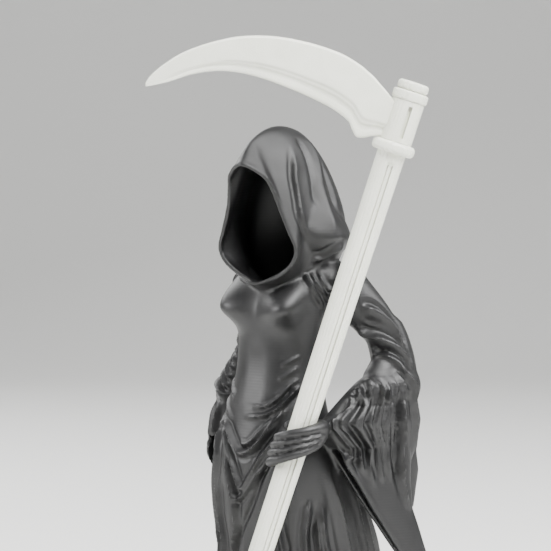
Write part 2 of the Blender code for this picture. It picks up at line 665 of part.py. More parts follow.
def body_skins():
    """Every overlapping skin of the figure, in steps."""
    skins = [robe(), hood_skin(96, 60), cowl()]
    skins.append(tube([SHOULDER_LEFT, (24.0, 15.8, 111.6), ELBOW_LEFT], (7.2, 5.0, 6.3), 24, 32))
    skins.append(tube([ELBOW_LEFT, (27.6, 6.4, 94.6), WRIST_LEFT], (6.3, 5.2, 3.0), 24, 32))
    skins.append(tube([(26.4, 14.6, 101.5), (27.2, 11.0, 98.4)], (4.4, 4.6), 6, 20))
    skins.extend(fall.rings(48, 60) for fall in [LEFT_FALL, *LEFT_FLAPS])
    skins.append(tube([SHOULDER_RIGHT, (-15.2, 10.2, 107.0), ELBOW_RIGHT], (7.0, 5.0, 5.4), 24, 32))
    skins.append(tube([SHOULDER_RIGHT, (0, 7.0, 127.0), SHOULDER_LEFT], (6.8, 7.0, 6.8), 24, 32))
    skins.append(tube([ELBOW_RIGHT, (-19.0, 13.6, 89.0), WRIST_RIGHT], (5.8, 5.4, 4.4), 20, 32))
    skins.append(tube([WRIST_RIGHT, KNUCKLES_RIGHT, (2.0, 13.4, 83.6)], (3.0, 3.4, 2.0), 12, 24))
    skins.append(RIGHT_FALL.rings(48, 40))
    skins.extend(on_shaft(rings, GRIP_UP) for rings in hand_tubes())
    return skins


def fuse(name, skins, voxel, collection):
    """One surface round all the skins, softened where they meet, in steps above the base."""
    bm = bmesh.new()
    for rings in skins:
        add_skin(bm, rings)
    fused = new_object(name, bm, collection)
    remesh = fused.modifiers.new("Fuse", "REMESH")
    remesh.mode = "VOXEL"
    remesh.voxel_size = voxel
    soften = fused.modifiers.new("Soften", "SMOOTH")
    soften.factor = 0.5
    soften.iterations = 4
    settle(fused)
    return fused


def carved(fused):
    """Raises the folds on a fused surface, and brings it from steps to metres on the base."""
    mesh = fused.data
    points = np.empty(len(mesh.vertices) * 3, np.float32)
    mesh.vertices.foreach_get("co", points)
    points = points.reshape(-1, 3).astype(float)
    normals = np.array([v.vector for v in mesh.vertex_normals])
    tree = BVHTree.FromPolygons([v.co for v in mesh.vertices], [p.vertices for p in mesh.polygons])
    points += normals * carve(points, normals, tree)[:, None]
    points = points * STEP + (0, 0, BASE_THICKNESS)
    mesh.vertices.foreach_set("co", points.astype(np.float32).ravel())
    mesh.update()


def boolean(thing, other, operation):
    cut = thing.modifiers.new(other.name, "BOOLEAN")
    cut.operation = operation
    cut.solver = "EXACT"
    cut.object = other
    other.hide_render = True
    other.display_type = "WIRE"


def base(collection):
    """The round base, with its edges taken off."""
    radius = HEM_HALF_WIDTH * STEP + BASE_MARGIN
    bm = bmesh.new()
    middle = Matrix.Translation((0, 0, BASE_THICKNESS / 2))
    bmesh.ops.create_cone(bm, cap_ends=True, segments=64, radius1=radius, radius2=radius,
                          depth=BASE_THICKNESS, matrix=middle)
    made = new_object("base", bm, collection)
    chamfer = made.modifiers.new("Chamfer", "BEVEL")
    chamfer.width = BASE_CHAMFER
    chamfer.limit_method = "ANGLE"
    return made


def hood_cavity(collection):
    """The empty inside of the hood, open at its rim."""
    wall = HOOD_WALL / STEP
    rows = [(f, lean, z, h - 1.55 * wall, w - wall, pinch + 0.08, spread)
            for f, lean, z, h, w, pinch, spread in HOOD_RINGS[:3]]
    rings = hood_skin(32, 9, lip=HOOD_LIP / STEP, rings=rows, back=CAVITY_BACK)
    ahead = to_head(0, 6, 0) - to_head(0, 0, 0)
    return skin_object("hood_cavity", [rings[0] + ahead, *rings], collection)


def figure(collection, cutters):
    made = fuse("reaper_figure", body_skins(), VOXEL_IN_STEPS, collection)
    carved(made)
    thin = made.modifiers.new("Thin out", "DECIMATE")
    thin.ratio = FIGURE_TRIANGLES / (2 * len(made.data.polygons))
    settle(made)
    boolean(made, base(cutters), "UNION")
    boolean(made, hood_cavity(cutters), "DIFFERENCE")
    wall = SLEEVE_WALL / STEP
    left = LEFT_FALL.rings(16, 6, wall, LEFT_MOUTH[2], LEFT_MOUTH[:2])
    right = RIGHT_FALL.rings(16, 4, wall, RIGHT_MOUTH[2], RIGHT_MOUTH[:2])
    boolean(made, skin_object("left_mouth", left, cutters), "DIFFERENCE")
    boolean(made, skin_object("right_mouth", right, cutters), "DIFFERENCE")
    low, high = (GRIP_UP - BORE_REACH[0]) * STEP, (GRIP_UP + BORE_REACH[1]) * STEP
    boolean(made, shaft_cone("grip_bore", low, high, GRIP_CLEARANCE, cutters), "DIFFERENCE")
    return made


def material(name, colour, roughness):
    made = bpy.data.materials.new(name)
    made.use_nodes = True
    surface = made.node_tree.nodes["Principled BSDF"]
    surface.inputs["Base Color"].default_value = (*colour, 1)
    surface.inputs["Roughness"].default_value = roughness
    return made


# The scythe, on its own axes: +X out along the blade, +Y out of the blade, +Z up the shaft


def shaft_profile():
    """Half of the turned outline, from the middle of the cap down to the middle of the butt."""
    head = SHAFT_HEAD_DIAMETER / 2
    points = [(0, SHAFT_LENGTH)]
    down = SHAFT_LENGTH

    def turned(diameter, length, rounding):
        nonlocal down
        outer = diameter / 2
        for turn in np.linspace(math.pi / 2, 0, 3):
            points.append((outer - rounding * (1 - math.cos(turn)), down - rounding * (1 - math.sin(turn))))
        down -= length
        for turn in np.linspace(0, -math.pi / 2, 3):
            points.append((outer - rounding * (1 - math.cos(turn)), down + rounding * (1 + math.sin(turn))))

    turned(CAP_DIAMETER, CAP_LENGTH, CAP_ROUNDING)
    points.append((CAP_DIAMETER / 2 - CAP_GROOVE_DEPTH, down))
    turned(BAND_DIAMETER, BAND_LENGTH, BAND_ROUNDING)
    turned(COLLAR_DIAMETER, COLLAR_LENGTH, COLLAR_ROUNDING)
    turned(RING_DIAMETER, RING_LENGTH, RING_ROUNDING)
    points.append((head, down))
    points.append((SHAFT_FOOT_DIAMETER / 2, BUTT_ROUNDING))
    points.append((SHAFT_FOOT_DIAMETER / 2 - BUTT_ROUNDING, 0))
    points.append((0, 0))
    return points


def shaft(collection, segments=20):
    bm = bmesh.new()
    verts = [bm.verts.new((x, 0, z)) for x, z in shaft_profile()]
    for a, b in zip(verts, verts[1:]):
        bm.edges.new((a, b))
    made = new_object("scythe", bm, collection)
    turn = made.modifiers.new("Turn", "SCREW")
    turn.steps = turn.render_steps = segments
    turn.use_merge_vertices = True
    turn.merge_threshold = 1e-5
    turn.use_smooth_shade = False
    made.matrix_world = shaft_frame()
    return made


def blade_rings(rows=19):
    """Sections across the blade, each from spine to edge and back, from inside the collar to the tip."""
    scale = BLADE_REACH / BLADE_STATIONS[-1][0]
    root = SHAFT_LENGTH - CAP_LENGTH - BAND_LENGTH
    share = np.array((0, 0.03, 0.12, 0.36, BLADE_BELLY, BLADE_BEVEL, 0.96, 1))
    body = ease((BLADE_BEVEL - share) / (BLADE_BEVEL - BLADE_BELLY)) * (1 - 0.55 * (share - 0.36) ** 2)
    rings = []
    for reach, spine, edge_reach, edge in smooth_path(BLADE_STATIONS, rows) * scale:
        width = math.hypot(edge_reach - reach, edge - spine)
        belly = min(BLADE_THICKNESS, 0.32 * width)
        flange = min(BLADE_EDGE_THICKNESS, 0.3 * width)
        thick = flange + (belly - flange) * body
        thick[[0, -1]] = 0
        thick[[1, -2]] *= 0.6
        across = reach + (edge_reach - reach) * share
        up = root + spine + (edge - spine) * share
        one = np.column_stack([across, thick / 2, up])
        other = np.column_stack([across, -thick / 2, up])[-2:0:-1]
        rings.append(np.vstack([one, other]))
    return rings


def plain_length():
    """The tapered part of the shaft, from its butt to the ring."""
    return SHAFT_LENGTH - CAP_LENGTH - BAND_LENGTH - COLLAR_LENGTH - RING_LENGTH


def shaft_radius(up):
    share = up / plain_length()
    return (SHAFT_FOOT_DIAMETER + (SHAFT_HEAD_DIAMETER - SHAFT_FOOT_DIAMETER) * share) / 2


def shaft_cone(name, low, high, extra, collection):
    """A cone that follows the shaft between two heights up it, that much wider all round."""
    bm = bmesh.new()
    place = shaft_frame() @ Matrix.Translation((0, 0, (low + high) / 2))
    bmesh.ops.create_cone(bm, cap_ends=True, segments=32, radius1=shaft_radius(low) + extra,
                          radius2=shaft_radius(high) + extra, depth=high - low, matrix=place)
    return new_object(name, bm, collection)


def flat_cutter(collection):
    """What shaves the narrow flat along the side of the shaft that faces out of the blade."""
    length = plain_length()
    taper = math.atan((shaft_radius(length) - shaft_radius(0)) / length)
    thick = 4 * SHAFT_FLAT_DEPTH
    bm = bmesh.new()
    bmesh.ops.create_cube(bm, size=1)
    bmesh.ops.scale(bm, vec=(SHAFT_FOOT_DIAMETER, thick, length * SHAFT_FLAT_SHARE), verts=bm.verts)
    away = shaft_radius(length / 2) - SHAFT_FLAT_DEPTH + thick / 2
    place = Matrix.Translation((0, away, length / 2)) @ Matrix.Rotation(-taper, 4, "X")
    bmesh.ops.transform(bm, matrix=shaft_frame() @ place, verts=bm.verts)
    return new_object("shaft_flat", bm, collection)


def scythe(collection, cutters):
    made = shaft(collection)
    bm = bmesh.new()
    add_skin(bm, blade_rings())
    blade = new_object("blade", bm, cutters)
    blade.matrix_world = shaft_frame()
    boolean(made, blade, "UNION")
    boolean(made, flat_cutter(cutters), "DIFFERENCE")
    return made


def main():
    for thing in list(bpy.data.objects):
        bpy.data.objects.remove(thing)
    parts = bpy.data.collections.new("grim_reaper_figurine")
    cutters = bpy.data.collections.new("cutters")
    for collection in (parts, cutters):
        bpy.context.scene.collection.children.link(collection)
    made = figure(parts, cutters)
    made.data.materials.append(material("black plastic", BLACK, 0.35))
    weapon = scythe(parts, cutters)
    weapon.data.materials.append(material("pale plastic", PALE, 0.4))


if __name__ == "__main__":
    main()
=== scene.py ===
"""Grim reaper figurine, dressed for its picture: a hooded, faceless woman in a draped robe, printed with
her round base in black silk-finish plastic, and the pale scythe that slides down through her left fist."""

import math
from dataclasses import dataclass

import bmesh
import bpy
import numpy as np
from mathutils import Matrix, Vector
from mathutils.bvhtree import BVHTree


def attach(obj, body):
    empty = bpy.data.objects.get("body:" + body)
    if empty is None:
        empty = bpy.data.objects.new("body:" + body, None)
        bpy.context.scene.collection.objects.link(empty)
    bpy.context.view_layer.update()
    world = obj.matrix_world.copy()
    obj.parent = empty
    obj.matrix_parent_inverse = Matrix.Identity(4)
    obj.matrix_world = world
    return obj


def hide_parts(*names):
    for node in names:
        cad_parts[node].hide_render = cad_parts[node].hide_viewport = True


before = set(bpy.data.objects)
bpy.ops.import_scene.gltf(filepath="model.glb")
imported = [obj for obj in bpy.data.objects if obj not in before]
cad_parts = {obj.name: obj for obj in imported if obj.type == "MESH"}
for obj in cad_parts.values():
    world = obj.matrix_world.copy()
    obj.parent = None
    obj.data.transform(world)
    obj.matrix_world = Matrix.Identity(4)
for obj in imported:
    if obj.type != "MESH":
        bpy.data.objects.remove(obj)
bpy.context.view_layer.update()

# The CAD's sizes, in metres
FIGURE_HEIGHT = 0.1675  # top of the base to the top of the hood
BASE_THICKNESS = 0.0035
BASE_MARGIN = 0.011  # base beyond the hem
BASE_CHAMFER = 0.0008
HOOD_WALL = 0.0021
HOOD_LIP = 0.0013  # the wall where it thins towards the rim
SLEEVE_WALL = 0.0017
GRIP_CLEARANCE = 0.0003  # all round the shaft, in the hand
FOOT_CLEARANCE = 0.0003  # under the lowest side of the butt

SHAFT_FOOT_DIAMETER = 0.0060
SHAFT_HEAD_DIAMETER = 0.0077
SHAFT_LENGTH = 0.1876  # butt to cap
SHAFT_LEAN = math.radians(18.0)  # from upright
BUTT_ROUNDING = 0.0008
SHAFT_BEARING = math.radians(42.0)  # of the way it leans, from +X towards +Y
SHAFT_FLAT_DEPTH = 0.0003  # shaved off the side that faces out of the blade
SHAFT_FLAT_SHARE = 0.97  # of the plain shaft's length
CAP_DIAMETER = 0.0084
CAP_LENGTH = 0.0026
CAP_GROOVE_DEPTH = 0.0005
BAND_DIAMETER = 0.0096
BAND_LENGTH = 0.0026
COLLAR_DIAMETER = 0.0088
COLLAR_LENGTH = 0.0114
RING_DIAMETER = 0.0116
RING_LENGTH = 0.0030
BLADE_TURN = math.radians(12.0)  # from the leaning plane of the shaft towards the figure's front
BLADE_REACH = 0.0687  # shaft axis to the tip
BLADE_THICKNESS = 0.0032
BLADE_EDGE_THICKNESS = 0.0013
BLADE_BELLY = 0.62  # share of the width, from the spine, that is full and rounded
BLADE_BEVEL = 0.82  # share at which the thin flange of the edge starts

# The sculptor's grid: the free forms below are in steps, shares of the figure's height.
HEIGHT_IN_STEPS = 167.5
STEP = FIGURE_HEIGHT / HEIGHT_IN_STEPS
FUSE_VOXEL = 0.5  # the overlapping skins are joined on this grid, in steps
FINE_VOXEL = 0.42  # and the hollowed figure is drawn again on this one
FIGURE_TRIANGLES = 190000

# Rings of the robe and body, bottom to top: height, middle across, middle back, half width, half depth
ROBE_RINGS = [
    (-1.5, 0.0, 5.5, 30.5, 30.5),
    (6.0, 0.0, 5.5, 28.5, 29.5),
    (20.0, 0.0, 6.5, 24.8, 26.5),
    (34.0, 0.0, 8.0, 22.5, 24.5),
    (49.0, 0.0, 8.5, 21.2, 22.5),
    (63.0, 0.0, 4.5, 21.0, 19.0),
    (77.0, 0.0, 0.0, 19.5, 15.3),
    (85.5, 0.0, -0.5, 16.7, 13.0),
    (91.0, 0.0, -0.3, 14.9, 12.0),
    (97.0, 0.0, 0.3, 13.4, 11.0),
    (102.5, 0.0, 0.6, 12.7, 10.3),
    (109.0, 0.0, 1.0, 12.7, 10.2),
    (117.0, 0.0, 1.8, 14.2, 10.8),
    (123.5, 0.0, 3.6, 16.2, 10.3),
    (128.5, 0.0, 5.6, 16.4, 8.6),
    (131.5, 0.0, 6.2, 12.5, 7.0),
    (133.0, 0.0, 6.2, 8.0, 5.0),
]
HEM_HALF_WIDTH = ROBE_RINGS[0][3]
BUST_ANGLE = 35.0
BUST_HEIGHT = 118.0
BUST_OUT = 5.4
BUST_SPREAD = 21.0  # degrees
BUST_SLOPES = (7.0, 4.2)  # how fast it falls away over and under
PLEAT_TOP = 70.0  # the skirt's pleats start here
PLEAT_RISE = 62.0  # and are full this far down
PLEAT_HEIGHT = 1.25

# Half of the hood's rim, from the top middle round to the bottom middle: across, height, forward
HOOD_RIM = [
    (0.0, 157.8, 24.5),
    (5.1, 154.8, 21.6),
    (6.7, 151.2, 19.4),
    (8.1, 146.0, 17.6),
    (10.4, 139.3, 16.4),
    (12.0, 134.8, 15.6),
    (10.8, 131.2, 15.2),
    (7.7, 128.4, 14.8),
    (3.8, 126.3, 14.9),
    (0.0, 125.0, 15.6),
]
# Rings of the hood behind the rim: forward, lean of its top, middle height, half height, half width,
# how far its top is pinched and its foot spread
HOOD_RINGS = [
    (12.5, 6.0, 143.0, 21.6, 11.4, 0.70, 0.20),
    (5.0, 2.0, 143.8, 24.0, 13.0, 0.42, 0.30),
    (-3.0, 0.0, 144.0, 23.0, 13.6, 0.34, 0.32),
    (-9.0, -1.0, 143.6, 20.0, 13.0, 0.38, 0.34),
    (-13.0, -1.0, 142.0, 15.4, 11.0, 0.38, 0.30),
    (-15.5, -0.5, 140.0, 8.6, 6.4, 0.3, 0.2),
]
HOOD_BACK = (-16.4, 139.0)  # forward, height
HEAD_MIDDLE = (0.5, 3.0)
HEAD_TURN = math.radians(12.0)  # to her left

SHOULDER_LEFT = (15.6, 9.6, 123.0)
ELBOW_LEFT = (28.2, 18.2, 96.5)
WRIST_LEFT = (22.8, -3.6, 87.2)
SHOULDER_RIGHT = (-15.0, 9.5, 123.0)
ELBOW_RIGHT = (-23.2, 7.8, 91.0)
WRIST_RIGHT = (-10.5, 16.2, 86.5)
KNUCKLES_RIGHT = (-2.5, 14.6, 85.0)
# Rings of the cloth over the shoulders: height, middle across, middle back, half width, half depth
COWL_RINGS = [
    (127.5, 0.0, 6.0, 12.0, 8.5),
    (132.0, 0.0, 5.6, 15.0, 11.4),
    (135.0, 0.0, 5.2, 17.6, 13.6),
    (137.5, 0.0, 4.8, 18.6, 14.6),
    (141.0, 0.0, 4.2, 17.4, 14.4),
    (146.0, 0.0, 3.4, 14.6, 13.4),
    (150.0, 0.0, 3.0, 12.6, 12.2),
    (154.0, 0.0, 3.0, 10.6, 11.0),
]
CAVITY_BACK = (-11.0, 143.0)  # forward, height
# Hollows of the sleeves: top, bottom, how far they are moved out of the front edge
LEFT_MOUTH = (80.5, 48.0, 4.2)
RIGHT_MOUTH = (80.0, 68.0, 3.0)
SHAFT_FOOT = (0.9, -34.1)  # across and back, where the axis meets the base
GRIP_UP = 85.2  # along the shaft, to the middle of the fist
FINGER_RADIUS = 1.45
FINGER_SPACING = 2.3
BORE_REACH = (16.0, 18.0)  # the bore runs this far below and above the middle of the fist
# Blade, root to tip: spine and edge, each as reach out and height over the top of the collar, as shares
# of a reach of 67.5
BLADE_STATIONS = [
    (3.0, -1.7, 3.0, -10.6),
    (6.2, 0.5, 6.4, -11.6),
    (8.6, 1.9, 8.4, -12.6),
    (11.0, 3.3, 10.4, -13.0),
    (13.2, 4.2, 12.1, -11.6),
    (15.6, 5.1, 14.2, -9.6),
    (21.5, 6.3, 20.0, -7.8),
    (30.0, 6.3, 28.5, -6.7),
    (39.0, 5.1, 37.0, -6.2),
    (47.5, 2.4, 44.0, -6.5),
    (54.5, -1.5, 50.5, -7.9),
    (60.5, -6.1, 56.5, -10.7),
    (64.4, -10.6, 61.8, -14.4),
    (66.6, -14.0, 65.6, -16.6),
    (67.5, -16.4, 67.1, -17.4),
]


def smooth_path(points, samples):
    """Points spaced evenly in parameter on a Catmull-Rom curve through the given ones."""
    p = np.asarray(points, float)
    p = np.vstack([2 * p[0] - p[1], p, 2 * p[-1] - p[-2]])
    at = np.linspace(0, len(p) - 3 - 1e-9, samples)
    i = at.astype(int)
    t = (at - i)[:, None]
    a, b, c, d = p[i], p[i + 1], p[i + 2], p[i + 3]
    return 0.5 * (2 * b + (c - a) * t + (2 * a - 5 * b + 4 * c - d) * t**2 + (3 * b - a - 3 * c + d) * t**3)


def look_up(table, key):
    """A row of a table whose first column rises, read from the smooth curve through its rows."""
    rows = smooth_path(table, 40 * len(table))
    return np.stack([np.interp(key, rows[:, 0], column) for column in rows.T], -1)


def ease(x):
    x = np.clip(x, 0, 1)
    return x * x * (3 - 2 * x)


def bell(x):
    return np.exp(-np.square(x))


# The robe and body, as one surface of angle and height


def robe_point(angle, height):
    """A point of the robe in steps; angle is in degrees from her front towards her left."""
    angle, height = np.broadcast_arrays(np.asarray(angle, float), np.asarray(height, float))
    ring = look_up(ROBE_RINGS, height)
    turn = np.radians(angle)
    off = (angle + 180) % 360 - 180
    above = height - BUST_HEIGHT
    fall = np.where(above > 0, *BUST_SLOPES)
    out = BUST_OUT * bell((np.abs(off) - BUST_ANGLE) / BUST_SPREAD) * bell(above / fall)
    low = ease((PLEAT_TOP - height) / PLEAT_RISE)
    pleat = np.cos(15 * turn + 0.9 * np.sin(2 * turn) + 0.3) + 0.35 * np.cos(26 * turn + 1.0)
    out = out + PLEAT_HEIGHT * low * pleat
    x = ring[..., 1] + (ring[..., 3] + out) * np.sin(turn)
    y = ring[..., 2] - (ring[..., 4] + out) * np.cos(turn)
    return np.stack([x, y, height], -1)


def robe(columns=144, rows=120):
    heights = np.linspace(ROBE_RINGS[0][0], ROBE_RINGS[-1][0], rows)
    angles = np.linspace(0, 360, columns, endpoint=False)
    return [robe_point(angles, height) for height in heights]


# The hood, as one surface from its rim back to the nape


def to_head(across, forward, height):
    """From the head's own across, forward and height to the figure's grid."""
    c, s = math.cos(HEAD_TURN), math.sin(HEAD_TURN)
    across, forward, height = np.broadcast_arrays(across, forward, height)
    x = HEAD_MIDDLE[0] + across * c + forward * s
    y = HEAD_MIDDLE[1] + across * s - forward * c
    return np.stack([x, y, height], -1)


def rim_ring(columns, inset=0.0):
    """The rim, from its top towards her left and round; inset moves it in towards its middle."""
    half = np.array(HOOD_RIM)
    whole = np.vstack([half, half[-2:0:-1] * (-1, 1, 1)])
    looped = np.vstack([whole[-2:], whole, whole[:3]])
    path = smooth_path(looped, 40 * len(looped))
    at = np.linspace(2, 2 + len(whole), columns, endpoint=False)
    rows = np.linspace(0, len(looped) - 1, len(path))
    ring = np.column_stack([np.interp(at, rows, column) for column in path.T])
    middle = np.array([0.0, 140.0])
    flat = ring[:, :2] - middle
    flat *= 1 - inset / np.maximum(np.linalg.norm(flat, axis=1), 1e-6)[:, None]
    return np.column_stack([flat + middle, ring[:, 2]])


def hood_ring(row, columns):
    forward, lean, middle, half_height, half_width, pinch, spread = row
    t = np.linspace(0, 2 * math.pi, columns, endpoint=False)
    shape = 1 - pinch * np.maximum(np.cos(t), 0) + spread * np.maximum(-np.cos(t), 0)
    across = half_width * np.sin(t) * shape
    height = middle + half_height * np.cos(t)
    return np.column_stack([across, height, forward + lean * np.cos(t)])


def hood_skin(columns, rows, lip=0.0, rings=HOOD_RINGS, back=HOOD_BACK):
    """Rings of the hood's surface from the rim back to one point, in steps."""
    pole = np.tile([0.0, back[1], back[0]], (columns, 1))
    rim = rim_ring(columns, lip - HOOD_LIP / STEP / 2)
    stations = [rim, *(hood_ring(row, columns) for row in rings), pole]
    lines = smooth_path(np.array(stations).reshape(len(stations), -1), rows).reshape(rows, columns, 3)
    return [to_head(ring[:, 0], ring[:, 2], ring[:, 1]) for ring in lines[:-1]]


def cowl():
    """The hood's cloth where it spreads over the shoulders."""
    t = np.linspace(0, 2 * math.pi, 96, endpoint=False)
    rings = []
    for height in np.linspace(COWL_RINGS[0][0], COWL_RINGS[-1][0], 24):
        ring = look_up(COWL_RINGS, height)
        x, y = ring[1] + ring[3] * np.sin(t), ring[2] - ring[4] * np.cos(t)
        rings.append(np.column_stack([x, y, np.full(len(t), height)]))
    return rings


# Sleeves and arms


def tube(path, radii, rows, columns):
    """Rings round a smooth path, with round ends; the radii are read evenly along it."""
    centres = smooth_path(path, rows)
    radius = np.interp(np.linspace(0, 1, rows), np.linspace(0, 1, len(radii)), radii)
    along = np.gradient(centres, axis=0)
    along /= np.linalg.norm(along, axis=1)[:, None]
    t = np.linspace(0, 2 * math.pi, columns, endpoint=False)
    rings = []
    side = np.cross(along[0], (0.0, 0.0, 1.0))
    for centre, way, r in dome(centres, along, radius):
        side = side - way * (side @ way)
        side /= np.linalg.norm(side)
        up = np.cross(side, way)
        rings.append(centre + r * (np.outer(np.cos(t), side) + np.outer(np.sin(t), up)))
    return rings


def dome(centres, along, radius, steps=5):
    """The stations of a tube, with more of them past each end that round it off."""
    turns = np.linspace(0, math.pi / 2, steps + 1)[1:] * 0.97
    for turn in turns[::-1]:
        yield centres[0] - along[0] * radius[0] * math.sin(turn), along[0], radius[0] * math.cos(turn)
    yield from zip(centres, along, radius)
    for turn in turns:
        yield centres[-1] + along[-1] * radius[-1] * math.sin(turn), along[-1], radius[-1] * math.cos(turn)


@dataclass
class Fall:
    """Cloth that hangs from an arm: a flat pouch between a front and a back edge, top to bottom."""

    front: list
    back: list
    depths: tuple
    blunt: tuple = (0.0, 1.0)  # the front is square below the first height and round above the second

    def place(self, height):
        """Its front edge's point, the ways back and out, and its length, depth and squareness."""
        front, back = (self.edge(e, height) for e in (self.front, self.back))
        top, bottom = self.front[0][2], self.front[-1][2]
        depth = np.interp((top - height) / (top - bottom), np.linspace(0, 1, len(self.depths)), self.depths)
        square = np.interp(height, self.blunt, (1, 0))
        way = (back - front) / max(np.linalg.norm(back - front), 1e-6)
        front = front - square * depth / 2 * np.array([way[1], -way[0]])
        length = max(np.linalg.norm(back - front), 1e-6)
        way = (back - front) / length
        return front, way, np.array([way[1], -way[0]]), length, depth, square

    def ring(self, height, columns, wall=0.0, forward=0.0):
        front, way, side, length, depth, square = self.place(height)
        t = np.linspace(0, 2 * math.pi, columns, endpoint=False)
        c, s = np.cos(t), np.sin(t)
        across = (length / 2 - wall) * np.sign(c) * np.abs(c) ** 0.8
        thick = (depth / 2 - wall) * np.sign(s) * np.abs(s) ** np.where(c < 0, 0.8 - 0.45 * square, 0.8)
        flat = front + way * (length / 2 - forward) + np.outer(across, way) + np.outer(thick, side)
        return np.column_stack([flat, np.full(columns, height)])

    def lip(self, heights, outer, front=True, inset=0.8):
        """A line down one of the cloth's edges, on its outer face (outer is 1) or its inner one (-1)."""
        line = []
        for height in heights:
            start, way, side, length, depth, square = self.place(height)
            along = inset if front else length - inset
            off = outer * (depth / 2 - inset) * (square if front else 0.3)
            line.append((*(start + way * along + side * off), height))
        return np.array(line)

    def edge(self, points, height):
        rows = np.array(points)[::-1]
        return np.array([np.interp(height, rows[:, 2], rows[:, axis]) for axis in (0, 1)])

    def rings(self, columns, rows, wall=0.0, forward=0.0, ends=None):
        """Level rings of the pouch, or of a hollow in it that is that far in and moved forward."""
        top, bottom = ends or (self.front[0][2], self.front[-1][2])
        return [self.ring(z, columns, wall, forward) for z in np.linspace(top, bottom, rows)]


LEFT_FALL = Fall(
    front=[(28.0, 5.0, 97.5), (28.2, 3.6, 94.5), (26.4, -3.0, 91.0), (24.2, -9.4, 88.6), (24.6, -7.2, 86.6),
           (26.8, -2.6, 79.5), (28.6, 1.0, 72.5), (30.9, 5.4, 64.0), (34.0, 11.4, 53.3), (36.9, 17.2, 43.5),
           (38.1, 21.0, 38.0)],
    back=[(29.8, 21.0, 97.5), (30.4, 21.4, 92.5), (31.0, 20.4, 84.3), (31.9, 18.6, 70.8), (32.9, 18.4, 63.0),
          (34.1, 19.4, 58.5), (35.8, 21.0, 51.0), (37.3, 22.6, 44.4), (38.4, 22.6, 38.0)],
    depths=(5.6, 9.0, 10.8, 10.0, 8.8, 7.8, 7.0, 6.2, 5.6, 5.0, 4.4, 3.7, 3.0),
    blunt=(81.0, 88.0),
)
RIGHT_FALL = Fall(
    front=[(-24.2, 1.6, 92.0), (-24.8, -0.4, 83.3), (-25.2, -1.8, 73.4), (-21.0, 2.2, 61.5)],
    back=[(-15.5, 18.0, 92.0), (-15.8, 19.0, 83.3), (-16.5, 18.5, 73.4), (-17.5, 14.0, 61.5)],
    depths=(9.0, 8.5, 6.5, 3.0),
)
# Two loose layers of the left sleeve behind the elbow
LEFT_FLAPS = [
    Fall(
        front=[(27.0, 13.0, 105.0), (28.6, 16.0, 94.6), (29.2, 17.5, 86.0), (29.9, 21.4, 79.0)],
        back=[(28.3, 18.2, 105.0), (31.4, 21.8, 94.6), (31.7, 23.6, 87.0), (30.4, 23.6, 79.0)],
        depths=(4.5, 5.0, 3.6, 2.2),
    ),
    Fall(
        front=[(27.5, 14.0, 97.4), (28.4, 18.2, 84.0), (28.6, 20.0, 72.0), (29.0, 22.0, 62.0)],
        back=[(28.6, 19.5, 97.4), (29.6, 22.8, 83.8), (30.2, 24.5, 72.8), (29.5, 23.3, 62.0)],
        depths=(4.5, 4.0, 3.4, 2.0),
    ),
]


# The hand, wound round the shaft


def finger_paths(places):
    """Lines round the shaft for fingers at the given places from the middle of the hand, in steps."""
    orbit = (shaft_radius(GRIP_UP * STEP) + GRIP_CLEARANCE) / STEP + 0.75 * FINGER_RADIUS
    turns = np.array((222, 190, 155, 122, 90, 44, 0, -49, -98, -139))
    reach = np.array((1.5, 1.2, 1.08, 1.08, 1.1, 1.12, 1.08, 1.05, 1.03, 1.0)) * orbit
    rise = np.array((5.0, 5.5, 5.2, 4.1, 2.4, -0.3, -2.3, -2.6, -2.8, -2.9))
    spread = np.array((0.3, 0.45, 0.65, 0.76, 0.84, 0.94, 1, 1, 1, 1))
    for place in places:
        yield turns, reach + 0.3 * (1.5 - abs(place)), rise + place * FINGER_SPACING * spread


def hand_tubes():
    """The fingers, palm and thumb, as tubes in steps round the shaft, at the height of the grip."""
    radii = FINGER_RADIUS * np.array((1.5, 1.35, 1.2, 1.1, 1.05, 1, 0.98, 0.95, 0.9, 0.75))
    tubes = []
    for turns, reach, heights in finger_paths((-1.5, -0.5, 0.5, 1.5)):
        turns = np.radians(turns)
        path = np.column_stack([reach * np.cos(turns), reach * np.sin(turns), heights])
        tubes.append(tube(path, radii, 90, 32))
    tubes.append(tube([(-12.5, -9.8, 8.4), (-8.8, -7.4, 6.6), (-5.2, -4.4, 5.0)], (2.4, 2.2, 2.4), 30, 32))
    tubes.append(tube([(-5.6, -4.6, 6.4), (-2.5, -6.0, 6.2), (2.2, -5.8, 4.4)], (2.0, 1.8, 1.3), 30, 32))
    return tubes


def shaft_frame():
    """The shaft's place: its foot, and its own axes (out along the blade, out of the blade, up the shaft)."""
    turn = Matrix.Rotation(SHAFT_BEARING, 4, "Z") @ Matrix.Rotation(SHAFT_LEAN, 4, "Y")
    turn = turn @ Matrix.Rotation(math.pi + BLADE_TURN, 4, "Z")
    foot = Vector((*SHAFT_FOOT, 0)) * STEP + Vector((0, 0, BASE_THICKNESS))
    lift = (FOOT_CLEARANCE + SHAFT_FOOT_DIAMETER / 2 * math.sin(SHAFT_LEAN)) / math.cos(SHAFT_LEAN)
    return Matrix.Translation(foot) @ turn @ Matrix.Translation((0, 0, lift))


def on_shaft(rings, up):
    """Rings given in steps round the shaft, a number of steps up it, on the figure's grid."""
    place = np.array(shaft_frame())
    moved = []
    for ring in rings:
        ring = (ring + (0, 0, up)) * STEP @ place[:3, :3].T + place[:3, 3] - (0, 0, BASE_THICKNESS)
        moved.append(ring / STEP)
    return moved


def shaft_radius(up):
    share = up / (SHAFT_LENGTH - CAP_LENGTH - BAND_LENGTH - COLLAR_LENGTH - RING_LENGTH)
    return (SHAFT_FOOT_DIAMETER + (SHAFT_HEAD_DIAMETER - SHAFT_FOOT_DIAMETER) * share) / 2


# Folds


